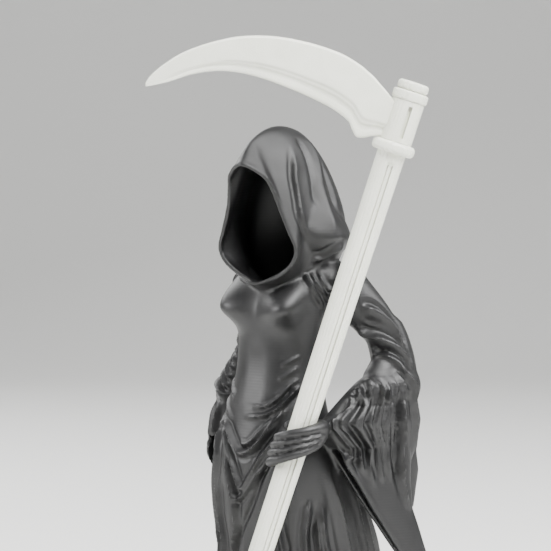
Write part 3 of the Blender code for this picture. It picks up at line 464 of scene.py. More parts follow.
@dataclass
class Fold:
    """A stroke of carving: points (bearing, height) on a cloth, how wide and how high it stands.

    Bearings are degrees round the cloth's upright axis, from her front towards her left. A height
    below zero carves a groove. Lap leans the ridge, so that it drops sharply on one side."""

    cloth: str
    points: list
    width: float
    height: float
    lap: int = 0


AXES = {
    "robe": [(-2, 0, 5.5), (49, 0, 8.5), (77, 0, 0), (102, 0, 0.6), (128, 0, 5.6)],
    "hood": [(120, 0.5, 3), (168, 0.5, 3)],
    "left arm": [(38, 37.6, 21), (52, 34.6, 16.6), (64, 31.8, 12.6), (75, 30.2, 12), (88, 29, 13),
                 (97, 28, 16.5), (112, 21.5, 15.5), (124, 15, 9.5)],
    "right arm": [(60, -19, 8), (90, -20, 9), (105, -17, 9), (124, -14.5, 9.5)],
}


def axis_at(cloth, height):
    rows = np.array(AXES[cloth], float)
    return np.array([np.interp(height, rows[:, 0], rows[:, 1]), np.interp(height, rows[:, 0], rows[:, 2])])


def between(first, last, count):
    """Strokes that change evenly from the first to the last."""
    first, last = np.array(first, float), np.array(last, float)
    return [first + (last - first) * share for share in np.linspace(0, 1, count)]


def other_side(points):
    """A stroke on the hood carried to its other side, across the way that the head looks."""
    return [(2 * math.degrees(HEAD_TURN) - bearing, height) for bearing, height in points]


def hood_folds():
    """Creases that run from the crown down to the shoulders, behind the panel of the rim."""
    strokes = []
    for points, width, height, lap in [
        ([(53, 163), (52, 157.3), (51, 153.9), (53, 149.3), (55, 143.9), (61, 139.8), (67, 137)],
         1.2, 0.7, -1),
        ([(65, 165), (85, 162), (87, 158.3), (84, 153.7), (80, 149.4), (80, 145)], 1.15, -0.8, 0),
        ([(100, 166), (130, 163), (124, 159.5), (103, 153.6), (96, 147.7), (92, 141.8), (89, 138)],
         2.4, 0.5, 0),
        ([(160, 165), (152, 161.5), (135, 158), (124, 153.5), (119, 147), (109, 140)], 1.15, -0.8, 0),
        ([(70, 131), (86, 132.4), (94, 134.1), (106, 135.4)], 1.1, 1.1, 0),
    ]:
        strokes.append(Fold("hood", points, width, height, lap))
        strokes.append(Fold("hood", other_side(points), width, height, -lap))
    strokes.append(Fold("hood", [(192, 160), (192, 152), (190, 144), (192, 134)], 1.2, -0.8))
    return strokes


def waist_folds():
    """Cloth gathered on the left hip, and the swags that hang from it across the lap."""
    strokes = []
    for points, width, height in (
        ([(-8, 88.4), (14, 88.5), (27, 89.2), (39, 90.7), (48, 92.6), (59, 95.2), (68, 97.5)], 0.7, 1.1),
        ([(3, 91.4), (21, 91.4), (34, 92.6), (46, 94.8), (57, 97.4)], 0.5, 0.6),
        ([(-56, 90), (-33, 85.6), (-20, 82.6), (-8, 79.9), (4, 78.5), (19, 80.9), (39, 88), (52, 93)],
         0.85, 1.5),
        ([(-9, 81.6), (3, 80.9), (11, 81.9), (20, 84.4), (31, 87.5), (42, 91)], 0.6, 0.8),
        ([(-46, 86), (-14, 76.5), (-5, 71.6), (0, 68.8), (11, 72.5), (31, 80.2), (46, 86)], 0.8, 1.4),
        ([(-14, 67.5), (-5, 65.6), (6, 68.5), (15, 71.8), (28, 76.1), (38, 81), (50, 86.5)], 0.75, 1.2),
        ([(44, 82), (38, 79.5), (22, 71.7), (9, 64.1), (-3, 57), (-10, 51), (-14, 44)], 0.8, -1.2),
    ):
        strokes.append(Fold("robe", points, width, height))
    first, last = [(36, 94.4), (50, 96.4), (69, 99.2)], [(42, 102.2), (54, 103.6), (70, 105.4)]
    for points in between(first, last, 3):
        strokes.append(Fold("robe", points, 0.55, 0.4))
    for points in between([(-62, 88), (-40, 84), (-16, 80)], [(-66, 98), (-48, 95), (-30, 93)], 3):
        strokes.append(Fold("robe", points, 0.8, 0.5))
    return strokes


def skirt_folds():
    """Long creases that fall from the hips to the hem, all the way round."""
    strokes = []
    for points in (
        [(-50, 88), (-46, 82), (-41, 75), (-44, 58), (-36, 48), (-36, 25), (-36, -3)],
        [(-37, 74), (-33, 61), (-24, 50), (-23, 25), (-24, -3)],
        [(-42, 86), (-21, 76.3), (-14, 69.5), (-9, 63.5), (-9, 56.7), (-12, 50.9), (-12, 25), (-10, -3)],
        [(62, 67), (56, 61.4), (49, 52), (46, 25), (45, -3)],
        [(64, 63), (60, 52), (57, 25), (55, -3)],
        [(70, 66), (66, 57.6), (65, 50), (66, 25), (64, -3)],
        [(14, 60), (16, 48), (20, 25), (22, -3)],
        [(30, 66), (32, 50), (34, 25), (34, -3)],
    ):
        strokes.append(Fold("robe", points, 0.9, 1.3))
    for place, bearing in enumerate(np.linspace(84, 311, 15)):
        top = 76 + 10 * math.sin(2.3 * place)
        sway = 4 * math.sin(1.7 * place)
        points = [(bearing, top), (bearing + sway, 55), (bearing - sway, 28), (bearing, -3)]
        strokes.append(Fold("robe", points, 1.4, 1.2))
    return strokes


def chest_folds():
    """Pleats round the armholes, the hollow under the bust and long folds down the back."""
    strokes = []
    first = [(56, 128), (61, 125.6), (70, 122), (86, 118)]
    last = [(68, 129), (76, 125), (90, 121.5), (96, 119)]
    for points in between(first, last, 3):
        strokes.append(Fold("robe", points, 0.7, 0.8))
        strokes.append(Fold("robe", points * (-1, 1), 0.7, 0.8))
    strokes.append(Fold("robe", [(2, 108), (4, 98), (2, 90)], 2.6, -0.35))
    for points in between([(146, 123), (158, 110), (152, 92)], [(214, 123), (202, 110), (208, 92)], 4):
        strokes.append(Fold("robe", points, 1.5, 0.7))
    return strokes


def left_sleeve_folds():
    """Pleats that hang from over the forearm down the sleeve, and swags round the upper arm."""
    strokes = []
    for first, last, count in (
        ([(-8, 95), (-2, 93.5), (-8, 84), (-12, 78), (-12, 71)],
         [(14, 101.5), (23, 97), (17, 86), (11, 78), (10, 71)], 6),
        ([(22, 99), (25, 93), (22, 84), (19, 78), (19, 71)],
         [(36, 99), (40, 92), (39, 84), (39, 78), (40, 72)], 3),
        ([(44, 101), (48, 91), (58, 84), (78, 72)], [(56, 99), (84, 88), (107, 80), (111, 71)], 3),
        ([(50, 103), (80, 91), (104, 76), (142, 61)], [(62, 103), (118, 93), (150, 86), (172, 72)], 2),
    ):
        for place, points in enumerate(between(first, last, count)):
            points = points + (0, 1.6 * math.sin(2.4 * place))
            strokes.append(Fold("left arm", points, 0.9, 1.25 + 0.25 * math.sin(3.1 * place)))
    for points, width, height in (
        ([(48, 118.3), (73, 117.8), (87, 115.1), (93, 110.8), (102, 106)], 1.4, 1.2),
        ([(3, 113.4), (11, 111.2), (59, 109.5), (89, 106.1), (107, 101)], 1.4, 1.2),
        ([(4, 107.3), (28, 105.3), (54, 105.1), (76, 102.7), (83, 97.5)], 1.2, 1.0),
        ([(120, 117), (135, 110), (150, 104), (165, 100)], 1.3, 1.0),
    ):
        strokes.append(Fold("left arm", points, width, height, 1))
    strokes.append(Fold("left arm", [(30, 115), (60, 114), (86, 111), (97, 106)], 1.3, -0.8))
    return strokes


def right_sleeve_folds():
    strokes = []
    for points in between([(-120, 116), (-60, 110), (-14, 104)], [(-130, 98), (-60, 94), (-6, 90)], 7):
        strokes.append(Fold("right arm", points, 1.0, 1.1, -1))
    for points in between([(-20, 90), (-24, 80), (-26, 72)], [(-140, 90), (-136, 80), (-130, 72)], 8):
        strokes.append(Fold("right arm", points, 0.9, 0.9))
    return strokes


def finger_grooves():
    """What parts the fingers; points are degrees round the shaft from out along the blade, and height."""
    strokes = []
    for turns, _, heights in finger_paths((-1, 0, 1)):
        strokes.append(Fold("hand", list(zip(turns[2:8], heights[2:8])), 0.45, -0.9))
    return strokes


def folds():
    """Every stroke on the outside of the figure."""
    return [
        *hood_folds(), *waist_folds(), *skirt_folds(), *chest_folds(), *left_sleeve_folds(),
        *right_sleeve_folds(), *finger_grooves(),
    ]


def lining_folds():
    """Soft strokes inside the hood that spread from where the cloth meets over the throat.

    Their points are (across, forward) on the floor of the hollow."""
    strokes = []
    for start, end in ((-3.2, -9.0), (-1.6, -4.6), (0.4, -0.6), (2.2, 3.8), (4.0, 8.6)):
        points = [(start, 13.5), ((start + end) / 2, 9.5), (end, 4.5)]
        strokes.append(Fold("lining", points, 0.9, -0.55))
    return strokes


def ray(cloth, first, height):
    """Where the ray that finds a stroke's point starts, and its way."""
    if cloth == "lining":
        return Vector(to_head(first, height, 141.0)), Vector((0, 0, -1))
    turn = math.radians(first)
    if cloth == "hand":
        out = 3 * np.array([math.cos(turn), math.sin(turn), 0])
        start, end = on_shaft(np.array([[4 * out + (0, 0, height)], [3 * out + (0, 0, height)]]), GRIP_UP)
        return Vector(start[0]), Vector(end[0] - start[0]).normalized()
    x, y = axis_at(cloth, height)
    return Vector((x, y, height)), Vector((math.sin(turn), -math.cos(turn), 0))


def trace(fold, tree):
    """Where a fold's stroke lies on the surface, in steps, and which way the surface faces there."""
    found, facing = [], []
    for first, height in smooth_path(fold.points, 22 * len(fold.points)):
        hit, normal, _, _ = tree.ray_cast(*ray(fold.cloth, first, height))
        if hit is not None:
            found.append(hit)
            facing.append(normal)
    return np.array(found), np.array(facing)


def crest(side, lap, sunk):
    """Height of a fold across its width: a soft body with a tight crest, leaning over where lap isn't 0.

    A groove has neither."""
    if sunk:
        return bell(side)
    if lap:
        side = side * lap
        gentle = bell(side / np.where(side < 0, 1.7, 0.5))
        return 1.0 * gentle + 0.35 * bell(side / 0.45) - 0.8 * bell((side - 1.2) / 0.6)
    return 0.65 * bell(side) + 0.55 * bell(side / 0.45) - 0.35 * bell((np.abs(side) - 1.8) / 0.8)


FADE = 0.2  # share of a stroke over which it rises at either end


def carve(points, normals, strokes, tree):
    """How far each point moves out along its normal, in steps."""
    out = np.zeros(len(points))
    for fold in strokes:
        line, facing = trace(fold, tree)
        near = 3 * fold.width
        inside = np.all((points > line.min(0) - near) & (points < line.max(0) + near), axis=1)
        who = np.flatnonzero(inside)
        if not len(who):
            continue
        square = ((points[who, None] - line[None]) ** 2).sum(2)
        nearest = square.argmin(1)
        close = (square[np.arange(len(who)), nearest] < near**2)
        close &= np.einsum("ij,ij->i", normals[who], facing[nearest]) > 0.1
        who, nearest = who[close], nearest[close]
        gap = points[who] - line[nearest]
        along = np.gradient(line, axis=0)
        along /= np.linalg.norm(along, axis=1)[:, None] + 1e-9
        gap -= along[nearest] * np.einsum("ij,ij->i", gap, along[nearest])[:, None]
        sign = np.sign(np.einsum("ij,ij->i", gap, np.cross(normals[who], along[nearest])))
        reach = np.linalg.norm(gap, axis=1) / fold.width
        share = nearest / (len(line) - 1)
        fade = ease(np.minimum(share, 1 - share) / FADE)
        out[who] += fold.height * fade * crest(reach * sign, fold.lap, fold.height < 0)
    return out


# Meshes


def add_skin(bm, rings, scale=1.0, lift=0.0):
    """A closed skin over rings of points, with a fan over each end."""
    rows = [[bm.verts.new(Vector(p) * scale + Vector((0, 0, lift))) for p in ring] for ring in rings]
    count = len(rows[0])
    faces = []
    for low, high in zip(rows, rows[1:]):
        for i in range(count):
            j = (i + 1) % count
            faces.append(bm.faces.new((low[i], low[j], high[j], high[i])))
    for row in (rows[0], rows[-1]):
        middle = bm.verts.new(sum((v.co for v in row), Vector()) / count)
        for i in range(count):
            faces.append(bm.faces.new((row[i], row[(i + 1) % count], middle)))
    bmesh.ops.recalc_face_normals(bm, faces=faces)


def new_object(name, bm, collection):
    mesh = bpy.data.meshes.new(name)
    bm.to_mesh(mesh)
    bm.free()
    made = bpy.data.objects.new(name, mesh)
    collection.objects.link(made)
    return made


def settle(thing):
    """Puts the object's modifiers into its mesh."""
    graph = bpy.context.evaluated_depsgraph_get()
    mesh = bpy.data.meshes.new_from_object(thing.evaluated_get(graph))
    thing.modifiers.clear()
    old = thing.data
    thing.data = mesh
    bpy.data.meshes.remove(old)


def join(thing, other, operation):
    """Adds or cuts away another closed solid, and removes it."""
    cut = thing.modifiers.new(other.name, "BOOLEAN")
    cut.operation = operation
    cut.solver = "EXACT"
    cut.object = other
    settle(thing)
    mesh = other.data
    bpy.data.objects.remove(other)
    bpy.data.meshes.remove(mesh)


def redraw(thing, voxel, rounds):
    """Draws a solid again on an even grid, and softens its edges."""
    remesh = thing.modifiers.new("Redraw", "REMESH")
    remesh.mode = "VOXEL"
    remesh.voxel_size = voxel
    soften = thing.modifiers.new("Soften", "SMOOTH")
    soften.factor = 0.5
    soften.iterations = rounds
    settle(thing)


def surface_tree(mesh):
    return BVHTree.FromPolygons([v.co for v in mesh.vertices], [p.vertices for p in mesh.polygons])


def solid_of(name, rings):
    """A closed solid over rings of points."""
    bm = bmesh.new()
    add_skin(bm, rings)
    return new_object(name, bm, bpy.context.scene.collection)


# Geometry Nodes


def add(tree, kind, feeds=(), **settings):
    """A node with its settings; feeds gives each socket a value, or the (node, output) it comes from."""
    node = tree.nodes.new(kind)
    for name, value in settings.items():
        setattr(node, name, value)
    for socket, value in dict(feeds).items():
        if isinstance(value, tuple) and isinstance(value[0], bpy.types.Node):
            tree.links.new(value[0].outputs[value[1]], node.inputs[socket])
        else:
            node.inputs[socket].default_value = value
    return node


def new_tree(name, sizes):
    """A geometry tree with a path coming in, named sizes, and its group input."""
    tree = bpy.data.node_groups.new(name, "GeometryNodeTree")
    tree.interface.new_socket("Path", in_out="INPUT", socket_type="NodeSocketGeometry")
    for size, start in sizes.items():
        kind = "NodeSocketInt" if isinstance(start, int) else "NodeSocketFloat"
        tree.interface.new_socket(size, in_out="INPUT", socket_type=kind).default_value = start
    tree.interface.new_socket("Finish", in_out="INPUT", socket_type="NodeSocketMaterial")
    tree.interface.new_socket("Piece", in_out="OUTPUT", socket_type="NodeSocketGeometry")
    return tree, add(tree, "NodeGroupInput")


def close_tree(tree, given, shape):
    """Ends a tree: instances made real, its material set, and its output."""
    real = add(tree, "GeometryNodeRealizeInstances", {0: shape})
    finish = add(tree, "GeometryNodeSetMaterial", {"Geometry": (real, 0), "Material": (given, "Finish")})
    add(tree, "NodeGroupOutput", {0: (finish, 0)})
    return tree


def hem_tree():
    """A rolled hem: a round bead along the path, that thins towards its ends by the taper."""
    tree, given = new_tree("rolled_hem", {"Bead radius": 1.0, "Taper": 0.0, "Sides": 12})
    place = add(tree, "GeometryNodeSplineParameter")
    centred = add(tree, "ShaderNodeMath", {0: (place, "Factor"), 1: 2.0, 2: -1.0}, operation="MULTIPLY_ADD")
    steep = add(tree, "ShaderNodeMath", {0: (centred, 0), 1: 4.0}, operation="POWER")
    lost = add(tree, "ShaderNodeMath", {0: (steep, 0), 1: (given, "Taper")}, operation="MULTIPLY")
    left = add(tree, "ShaderNodeMath", {0: 1.0, 1: (lost, 0)}, operation="SUBTRACT")
    radius = add(tree, "ShaderNodeMath", {0: (left, 0), 1: (given, "Bead radius")}, operation="MULTIPLY")
    ring = add(tree, "GeometryNodeCurvePrimitiveCircle", {"Resolution": (given, "Sides"), "Radius": 1.0})
    bead = add(tree, "GeometryNodeCurveToMesh", {
        "Curve": (given, "Path"), "Profile Curve": (ring, "Curve"), "Scale": (radius, 0), "Fill Caps": True})
    return close_tree(tree, given, (bead, 0))


def shaft_tree():
    """The scythe's shaft: a straight round rod up the path's own Z that widens from foot to head."""
    sizes = {"Length": 1.0, "Foot radius": 0.1, "Head radius": 0.1, "Sides": 72}
    tree, given = new_tree("tapered_shaft", sizes)
    top = add(tree, "ShaderNodeCombineXYZ", {"Z": (given, "Length")})
    line = add(tree, "GeometryNodeCurvePrimitiveLine", {"End": (top, 0)})
    path = add(tree, "GeometryNodeResampleCurve", {"Curve": (line, 0), "Count": 48})
    place = add(tree, "GeometryNodeSplineParameter")
    radius = add(tree, "ShaderNodeMapRange", {
        "Value": (place, "Factor"), "To Min": (given, "Foot radius"), "To Max": (given, "Head radius")})
    ring = add(tree, "GeometryNodeCurvePrimitiveCircle", {"Resolution": (given, "Sides"), "Radius": 1.0})
    rod = add(tree, "GeometryNodeCurveToMesh", {
        "Curve": (path, 0), "Profile Curve": (ring, "Curve"), "Scale": (radius, 0), "Fill Caps": True})
    return close_tree(tree, given, (rod, 0))


def grow(name, tree, sizes, data=None):
    """The plain mesh that a tree makes from the given curve and sizes, as an object."""
    data = data or bpy.data.meshes.new(name)
    made = bpy.data.objects.new(name, data)
    bpy.context.scene.collection.objects.link(made)
    nodes = made.modifiers.new(name, "NODES")
    nodes.node_group = tree
    for item in tree.interface.items_tree:
        if item.in_out == "INPUT" and item.name in sizes:
            nodes[item.identifier] = sizes[item.name]
    graph = bpy.context.evaluated_depsgraph_get()
    mesh = bpy.data.meshes.new_from_object(made.evaluated_get(graph))
    bpy.data.objects.remove(made)
    plain = bpy.data.objects.new(name, mesh)
    bpy.context.scene.collection.objects.link(plain)
    return plain


def path_curve(name, points, closed):
    curve = bpy.data.curves.new(name, "CURVE")
    curve.dimensions = "3D"
    spline = curve.splines.new("POLY")
    spline.points.add(len(points) - 1)
    spline.points.foreach_set("co", np.column_stack([points, np.ones(len(points))]).ravel())
    spline.use_cyclic_u = closed
    return curve


# The figure


RIM_BEAD = 0.68  # radius of the rolled edge round the hood's opening
RIM_FORWARD = 0.25
SLEEVE_BEAD = 0.85
FLAP_BEAD = 0.9
# The tail of the rim's right side, that crosses under the left one and curls up: across, height, forward
RIM_TAIL = [
    (5.0, 127.6, 15.4),
    (1.4, 125.6, 16.6),
    (-1.6, 125.2, 17.6),
    (-3.6, 126.2, 18.6),
    (-4.3, 128.0, 19.0),
]


def body_skins():
    """Every overlapping skin of the figure, in steps."""
    skins = [robe(300, 240), hood_skin(220, 130), cowl()]
    skins.append(tube([SHOULDER_LEFT, (24.0, 15.8, 111.6), ELBOW_LEFT], (7.2, 5.0, 6.3), 60, 72))
    skins.append(tube([ELBOW_LEFT, (27.6, 6.4, 94.6), WRIST_LEFT], (6.3, 5.2, 3.0), 60, 72))
    skins.append(tube([(26.4, 14.6, 101.5), (27.2, 11.0, 98.4)], (4.4, 4.6), 20, 48))
    skins.extend(fall.rings(120, 130) for fall in [LEFT_FALL, *LEFT_FLAPS])
    skins.append(tube([SHOULDER_RIGHT, (-15.2, 10.2, 107.0), ELBOW_RIGHT], (7.0, 5.0, 5.4), 60, 72))
    skins.append(tube([SHOULDER_RIGHT, (0, 7.0, 127.0), SHOULDER_LEFT], (6.8, 7.0, 6.8), 60, 72))
    skins.append(tube([ELBOW_RIGHT, (-19.0, 13.6, 89.0), WRIST_RIGHT], (5.8, 5.4, 4.4), 50, 72))
    skins.append(tube([WRIST_RIGHT, KNUCKLES_RIGHT, (2.0, 13.4, 83.6)], (3.0, 3.4, 2.0), 40, 48))
    skins.append(RIGHT_FALL.rings(120, 90))
    skins.extend(on_shaft(rings, GRIP_UP) for rings in hand_tubes())
    return skins


def hems():
    """The rolled edges of the cloth, as meshes in steps: the hood's rim, its tail and the sleeve's."""
    rim = rim_ring(260) + (0, 0, RIM_FORWARD)
    tail = smooth_path(RIM_TAIL, 40)
    low, middle = np.linspace(83.5, 39.5, 80), np.linspace(93.0, 63.0, 60)
    upper = np.linspace(103.0, 80.0, 50)
    lines = {
        "rim": (to_head(rim[:, 0], rim[:, 2], rim[:, 1]), RIM_BEAD, 0.0),
        "rim_tail": (to_head(tail[:, 0], tail[:, 2], tail[:, 1]), RIM_BEAD, 0.45),
        "near_hem": (LEFT_FALL.lip(low, 1), SLEEVE_BEAD, 0.3),
        "far_hem": (LEFT_FALL.lip(low, -1), SLEEVE_BEAD, 0.3),
        "flap_hem_1": (LEFT_FLAPS[0].lip(upper, 1, False), FLAP_BEAD, 0.6),
        "flap_hem_2": (LEFT_FLAPS[1].lip(middle, 1, False), FLAP_BEAD, 0.6),
        "flap_hem_3": (LEFT_FLAPS[1].lip(middle, 1), FLAP_BEAD, 0.6),
    }
    tree = hem_tree()
    made = []
    for name, (points, radius, taper) in lines.items():
        curve = path_curve(name, points, name == "rim")
        made.append(grow(name, tree, {"Bead radius": radius, "Taper": taper, "Sides": 12}, curve))
    return made


def hollows():
    """What is cut out of the figure: the hood's inside, the sleeves' mouths and the bore of the fist."""
    wall = HOOD_WALL / STEP
    rows = [(f, lean, z, h - 1.55 * wall, w - wall, pinch + 0.08, spread)
            for f, lean, z, h, w, pinch, spread in HOOD_RINGS[:3]]
    rings = hood_skin(120, 48, lip=HOOD_LIP / STEP, rings=rows, back=CAVITY_BACK)
    ahead = to_head(0, 6, 0) - to_head(0, 0, 0)
    wall = SLEEVE_WALL / STEP
    left = LEFT_FALL.rings(72, 40, wall, LEFT_MOUTH[2], LEFT_MOUTH[:2])
    right = RIGHT_FALL.rings(72, 30, wall, RIGHT_MOUTH[2], RIGHT_MOUTH[:2])
    t = np.linspace(0, 2 * math.pi, 64, endpoint=False)
    circle = np.column_stack([np.cos(t), np.sin(t), 0 * t])
    bore = []
    for up in (-BORE_REACH[0], BORE_REACH[1]):
        radius = shaft_radius((GRIP_UP + up) * STEP) + GRIP_CLEARANCE
        bore.append(circle * radius / STEP + (0, 0, up))
    return [
        solid_of("hood_cavity", [rings[0] + ahead, *rings]),
        solid_of("left_mouth", left),
        solid_of("right_mouth", right),
        solid_of("grip_bore", on_shaft(bore, GRIP_UP)),
    ]


def base_rings(columns=160):
    """The round base in metres, bottom to top, with its edges rounded over."""
    radius = HEM_HALF_WIDTH * STEP + BASE_MARGIN
    turns = np.linspace(0, math.pi / 2, 6)
    out = radius - BASE_CHAMFER * (1 - np.sin(turns))
    rise = BASE_CHAMFER * (1 - np.cos(turns))
    outline = [*zip(out, rise), *list(zip(out, BASE_THICKNESS - rise))[::-1]]
    t = np.linspace(0, 2 * math.pi, columns, endpoint=False)
    return [np.column_stack([r * np.cos(t), r * np.sin(t), np.full(columns, z)]) for r, z in outline]


def reaper(finish):
    """The printed figure with her base, in metres."""
    bm = bmesh.new()
    for rings in body_skins():
        add_skin(bm, rings)
    for hem in hems():
        bm.from_mesh(hem.data)
        bpy.data.objects.remove(hem)
    made = new_object("reaper", bm, bpy.context.scene.collection)
    redraw(made, FUSE_VOXEL, 3)
    outside = surface_tree(made.data)
    for hollow in hollows():
        join(made, hollow, "DIFFERENCE")
    redraw(made, FINE_VOXEL, 2)
    lining = surface_tree(made.data)
    mesh = made.data
    points = np.empty(len(mesh.vertices) * 3, np.float32)
    mesh.vertices.foreach_get("co", points)
    points = points.reshape(-1, 3).astype(float)
    normals = np.array([v.vector for v in mesh.vertex_normals])
    moved = carve(points, normals, folds(), outside) + carve(points, normals, lining_folds(), lining)
    points = (points + normals * moved[:, None]) * STEP + (0, 0, BASE_THICKNESS)
    mesh.vertices.foreach_set("co", points.astype(np.float32).ravel())
    mesh.update()
    calm = made.modifiers.new("Calm", "SMOOTH")
    calm.factor = 0.5
    calm.iterations = 2
    thin = made.modifiers.new("Thin out", "DECIMATE")
    thin.ratio = FIGURE_TRIANGLES / (2 * len(mesh.polygons))
    settle(made)
    join(made, solid_of("base", base_rings()), "UNION")
    smooth(made, math.radians(50))
    made.data.materials.clear()
    made.data.materials.append(finish)
    return made


def smooth(thing, crease):
    """Shades a mesh smoothly, except over edges sharper than the crease."""
    thing.data.shade_smooth()
    thing.data.set_sharp_from_angle(angle=crease)


# The scythe, on its own axes: +X out along the blade, +Y out of the blade, +Z up the shaft


# The head's edges, each 0.1 mm rounder than the CAD's
CAP_ROUNDING = 0.0009
BAND_ROUNDING = 0.0006
COLLAR_ROUNDING = 0.0002
RING_ROUNDING = 0.0011

SLOT_LENGTH = 0.0086  # the narrow slot sunk in the collar's side
SLOT_WIDTH = 0.0011
SLOT_DEPTH = 0.0014
STRIP_WIDTH = 0.0012  # the top layer of the print, a shallow strip along the shaft's flat
STRIP_DEPTH = 0.0003
GAP_WIDTH = 0.00035  # the seams on either side of the strip
GAP_DEPTH = 0.0008
STRIP_SLANT = math.radians(0.25)
STRIP_SHARE = 0.96  # of the plain shaft's length
STRIP_OFFSET = 0.0002  # off the middle of the flat, towards the shaft's back
CUTTER_DEPTH = 0.002  # of the blocks that cut the flat, the strip and the slot
CUTTER_WIDTH = 0.004


def head_profile():
    """The turned outline of the scythe's head, from the foot of the ring up to the cap: radius, height."""
    points = [(0.0, SHAFT_LENGTH)]
    down = SHAFT_LENGTH
    for diameter, length, rounding in (
        (CAP_DIAMETER, CAP_LENGTH, CAP_ROUNDING),
        (CAP_DIAMETER - 2 * CAP_GROOVE_DEPTH, 0.0, 0.0),
        (BAND_DIAMETER, BAND_LENGTH, BAND_ROUNDING),
        (COLLAR_DIAMETER, COLLAR_LENGTH, COLLAR_ROUNDING),
        (RING_DIAMETER, RING_LENGTH, RING_ROUNDING),
    ):
        outer = diameter / 2
        turns = np.linspace(0, math.pi / 2, 7) if rounding else [0]
        for turn in turns[::-1]:
            points.append((outer - rounding * (1 - math.cos(turn)), down - rounding * (1 - math.sin(turn))))
        down -= length
        for turn in turns:
            points.append((outer - rounding * (1 - math.cos(turn)), down + rounding * (1 - math.sin(turn))))
    points.append((0.0, down))
    return points


def turned_rings(profile, columns=72):
    t = np.linspace(0, 2 * math.pi, columns, endpoint=False)
    return [np.column_stack([r * np.cos(t), r * np.sin(t), np.full(columns, z)]) for r, z in profile[1:-1]]


CREASE_DEPTH = 0.035  # where the flange meets the body, as a share of the blade's width


def blade_rings(rows=150, columns=90):
    """Sections across the blade, each from spine to edge and back, from inside the collar to the tip."""
    scale = BLADE_REACH / BLADE_STATIONS[-1][0]
    root = SHAFT_LENGTH - CAP_LENGTH - BAND_LENGTH
    share = (1 - np.cos(np.linspace(0, math.pi, columns))) / 2
    slope = ease((BLADE_BEVEL - share) / (BLADE_BEVEL - BLADE_BELLY))
    body = slope * (1 - 0.55 * (share - 0.36) ** 2)
    round_off = np.sqrt(np.clip(1 - (1 - np.minimum(share, 1 - share) / 0.06).clip(0) ** 2, 0, 1))
    crease = bell((share - BLADE_BEVEL) / 0.04)
    rings = []
    for reach, spine, edge_reach, edge in smooth_path(BLADE_STATIONS, rows) * scale:
        width = math.hypot(edge_reach - reach, edge - spine)
        belly = min(BLADE_THICKNESS, 0.32 * width)
        flange = min(BLADE_EDGE_THICKNESS, 0.3 * width)
        thick = (flange + (belly - flange) * body - CREASE_DEPTH * width * crease) * round_off
        across = reach + (edge_reach - reach) * share
        up = root + spine + (edge - spine) * share
        one = np.column_stack([across, thick / 2, up])
        other = np.column_stack([across, -thick / 2, up])[-2:0:-1]
        rings.append(np.vstack([one, other]))
    return rings


def block(name, size, place):
    """A plain block, as a cutter."""
    bm = bmesh.new()
    bmesh.ops.create_cube(bm, size=1)
    bmesh.ops.scale(bm, vec=size, verts=bm.verts)
    bmesh.ops.transform(bm, matrix=place, verts=bm.verts)
    return new_object(name, bm, bpy.context.scene.collection)


def scythe(finish):
    """Shaft, turned head and blade as one closed solid, set in its place through the fist."""
    length = SHAFT_LENGTH - CAP_LENGTH - BAND_LENGTH - COLLAR_LENGTH - RING_LENGTH
    foot, top = shaft_radius(0), shaft_radius(length)
    reach = length + RING_LENGTH
    sizes = {"Length": reach, "Foot radius": foot, "Head radius": shaft_radius(reach), "Sides": 72}
    made = grow("pale_scythe", shaft_tree(), {**sizes, "Finish": finish})
    butt = made.modifiers.new("Butt", "BEVEL")
    butt.width = BUTT_ROUNDING
    butt.segments = 4
    butt.limit_method = "ANGLE"
    butt.angle_limit = math.radians(60)
    settle(made)
    join(made, solid_of("head", turned_rings(head_profile())), "UNION")
    join(made, solid_of("blade", blade_rings()), "UNION")
    taper = math.atan((top - foot) / length)
    away = shaft_radius(length / 2) - SHAFT_FLAT_DEPTH + CUTTER_DEPTH / 2
    place = Matrix.Translation((0, away, length / 2)) @ Matrix.Rotation(-taper, 4, "X")
    size = (CUTTER_WIDTH, CUTTER_DEPTH, length * SHAFT_FLAT_SHARE)
    join(made, block("shaft_flat", size, place), "DIFFERENCE")
    place = place @ Matrix.Translation((-STRIP_OFFSET, 0, 0)) @ Matrix.Rotation(STRIP_SLANT, 4, "Y")
    for across, width, deep in (
        (0, STRIP_WIDTH, STRIP_DEPTH),
        (-STRIP_WIDTH / 2, GAP_WIDTH, GAP_DEPTH),
        (STRIP_WIDTH / 2, GAP_WIDTH, GAP_DEPTH),
    ):
        size = (width, CUTTER_DEPTH, length * STRIP_SHARE)
        join(made, block("strip", size, place @ Matrix.Translation((across, -deep, 0))), "DIFFERENCE")
    collar_middle = reach + COLLAR_LENGTH / 2
    place = Matrix.Translation((0, COLLAR_DIAMETER / 2 - SLOT_DEPTH + CUTTER_DEPTH / 2, collar_middle))
    join(made, block("slot", (SLOT_WIDTH, CUTTER_DEPTH, SLOT_LENGTH), place), "DIFFERENCE")
    made.data.transform(shaft_frame())
    smooth(made, math.radians(32))
    made.data.materials.clear()
    made.data.materials.append(finish)
    return made


# Finishes


def linear(hex_colour):
    """An sRGB hex colour as the linear one that a shader takes."""
    parts = [int(hex_colour[i:i + 2], 16) / 255 for i in (1, 3, 5)]
    return (*(c / 12.92 if c <= 0.04045 else ((c + 0.055) / 1.055) ** 2.4 for c in parts), 1.0)


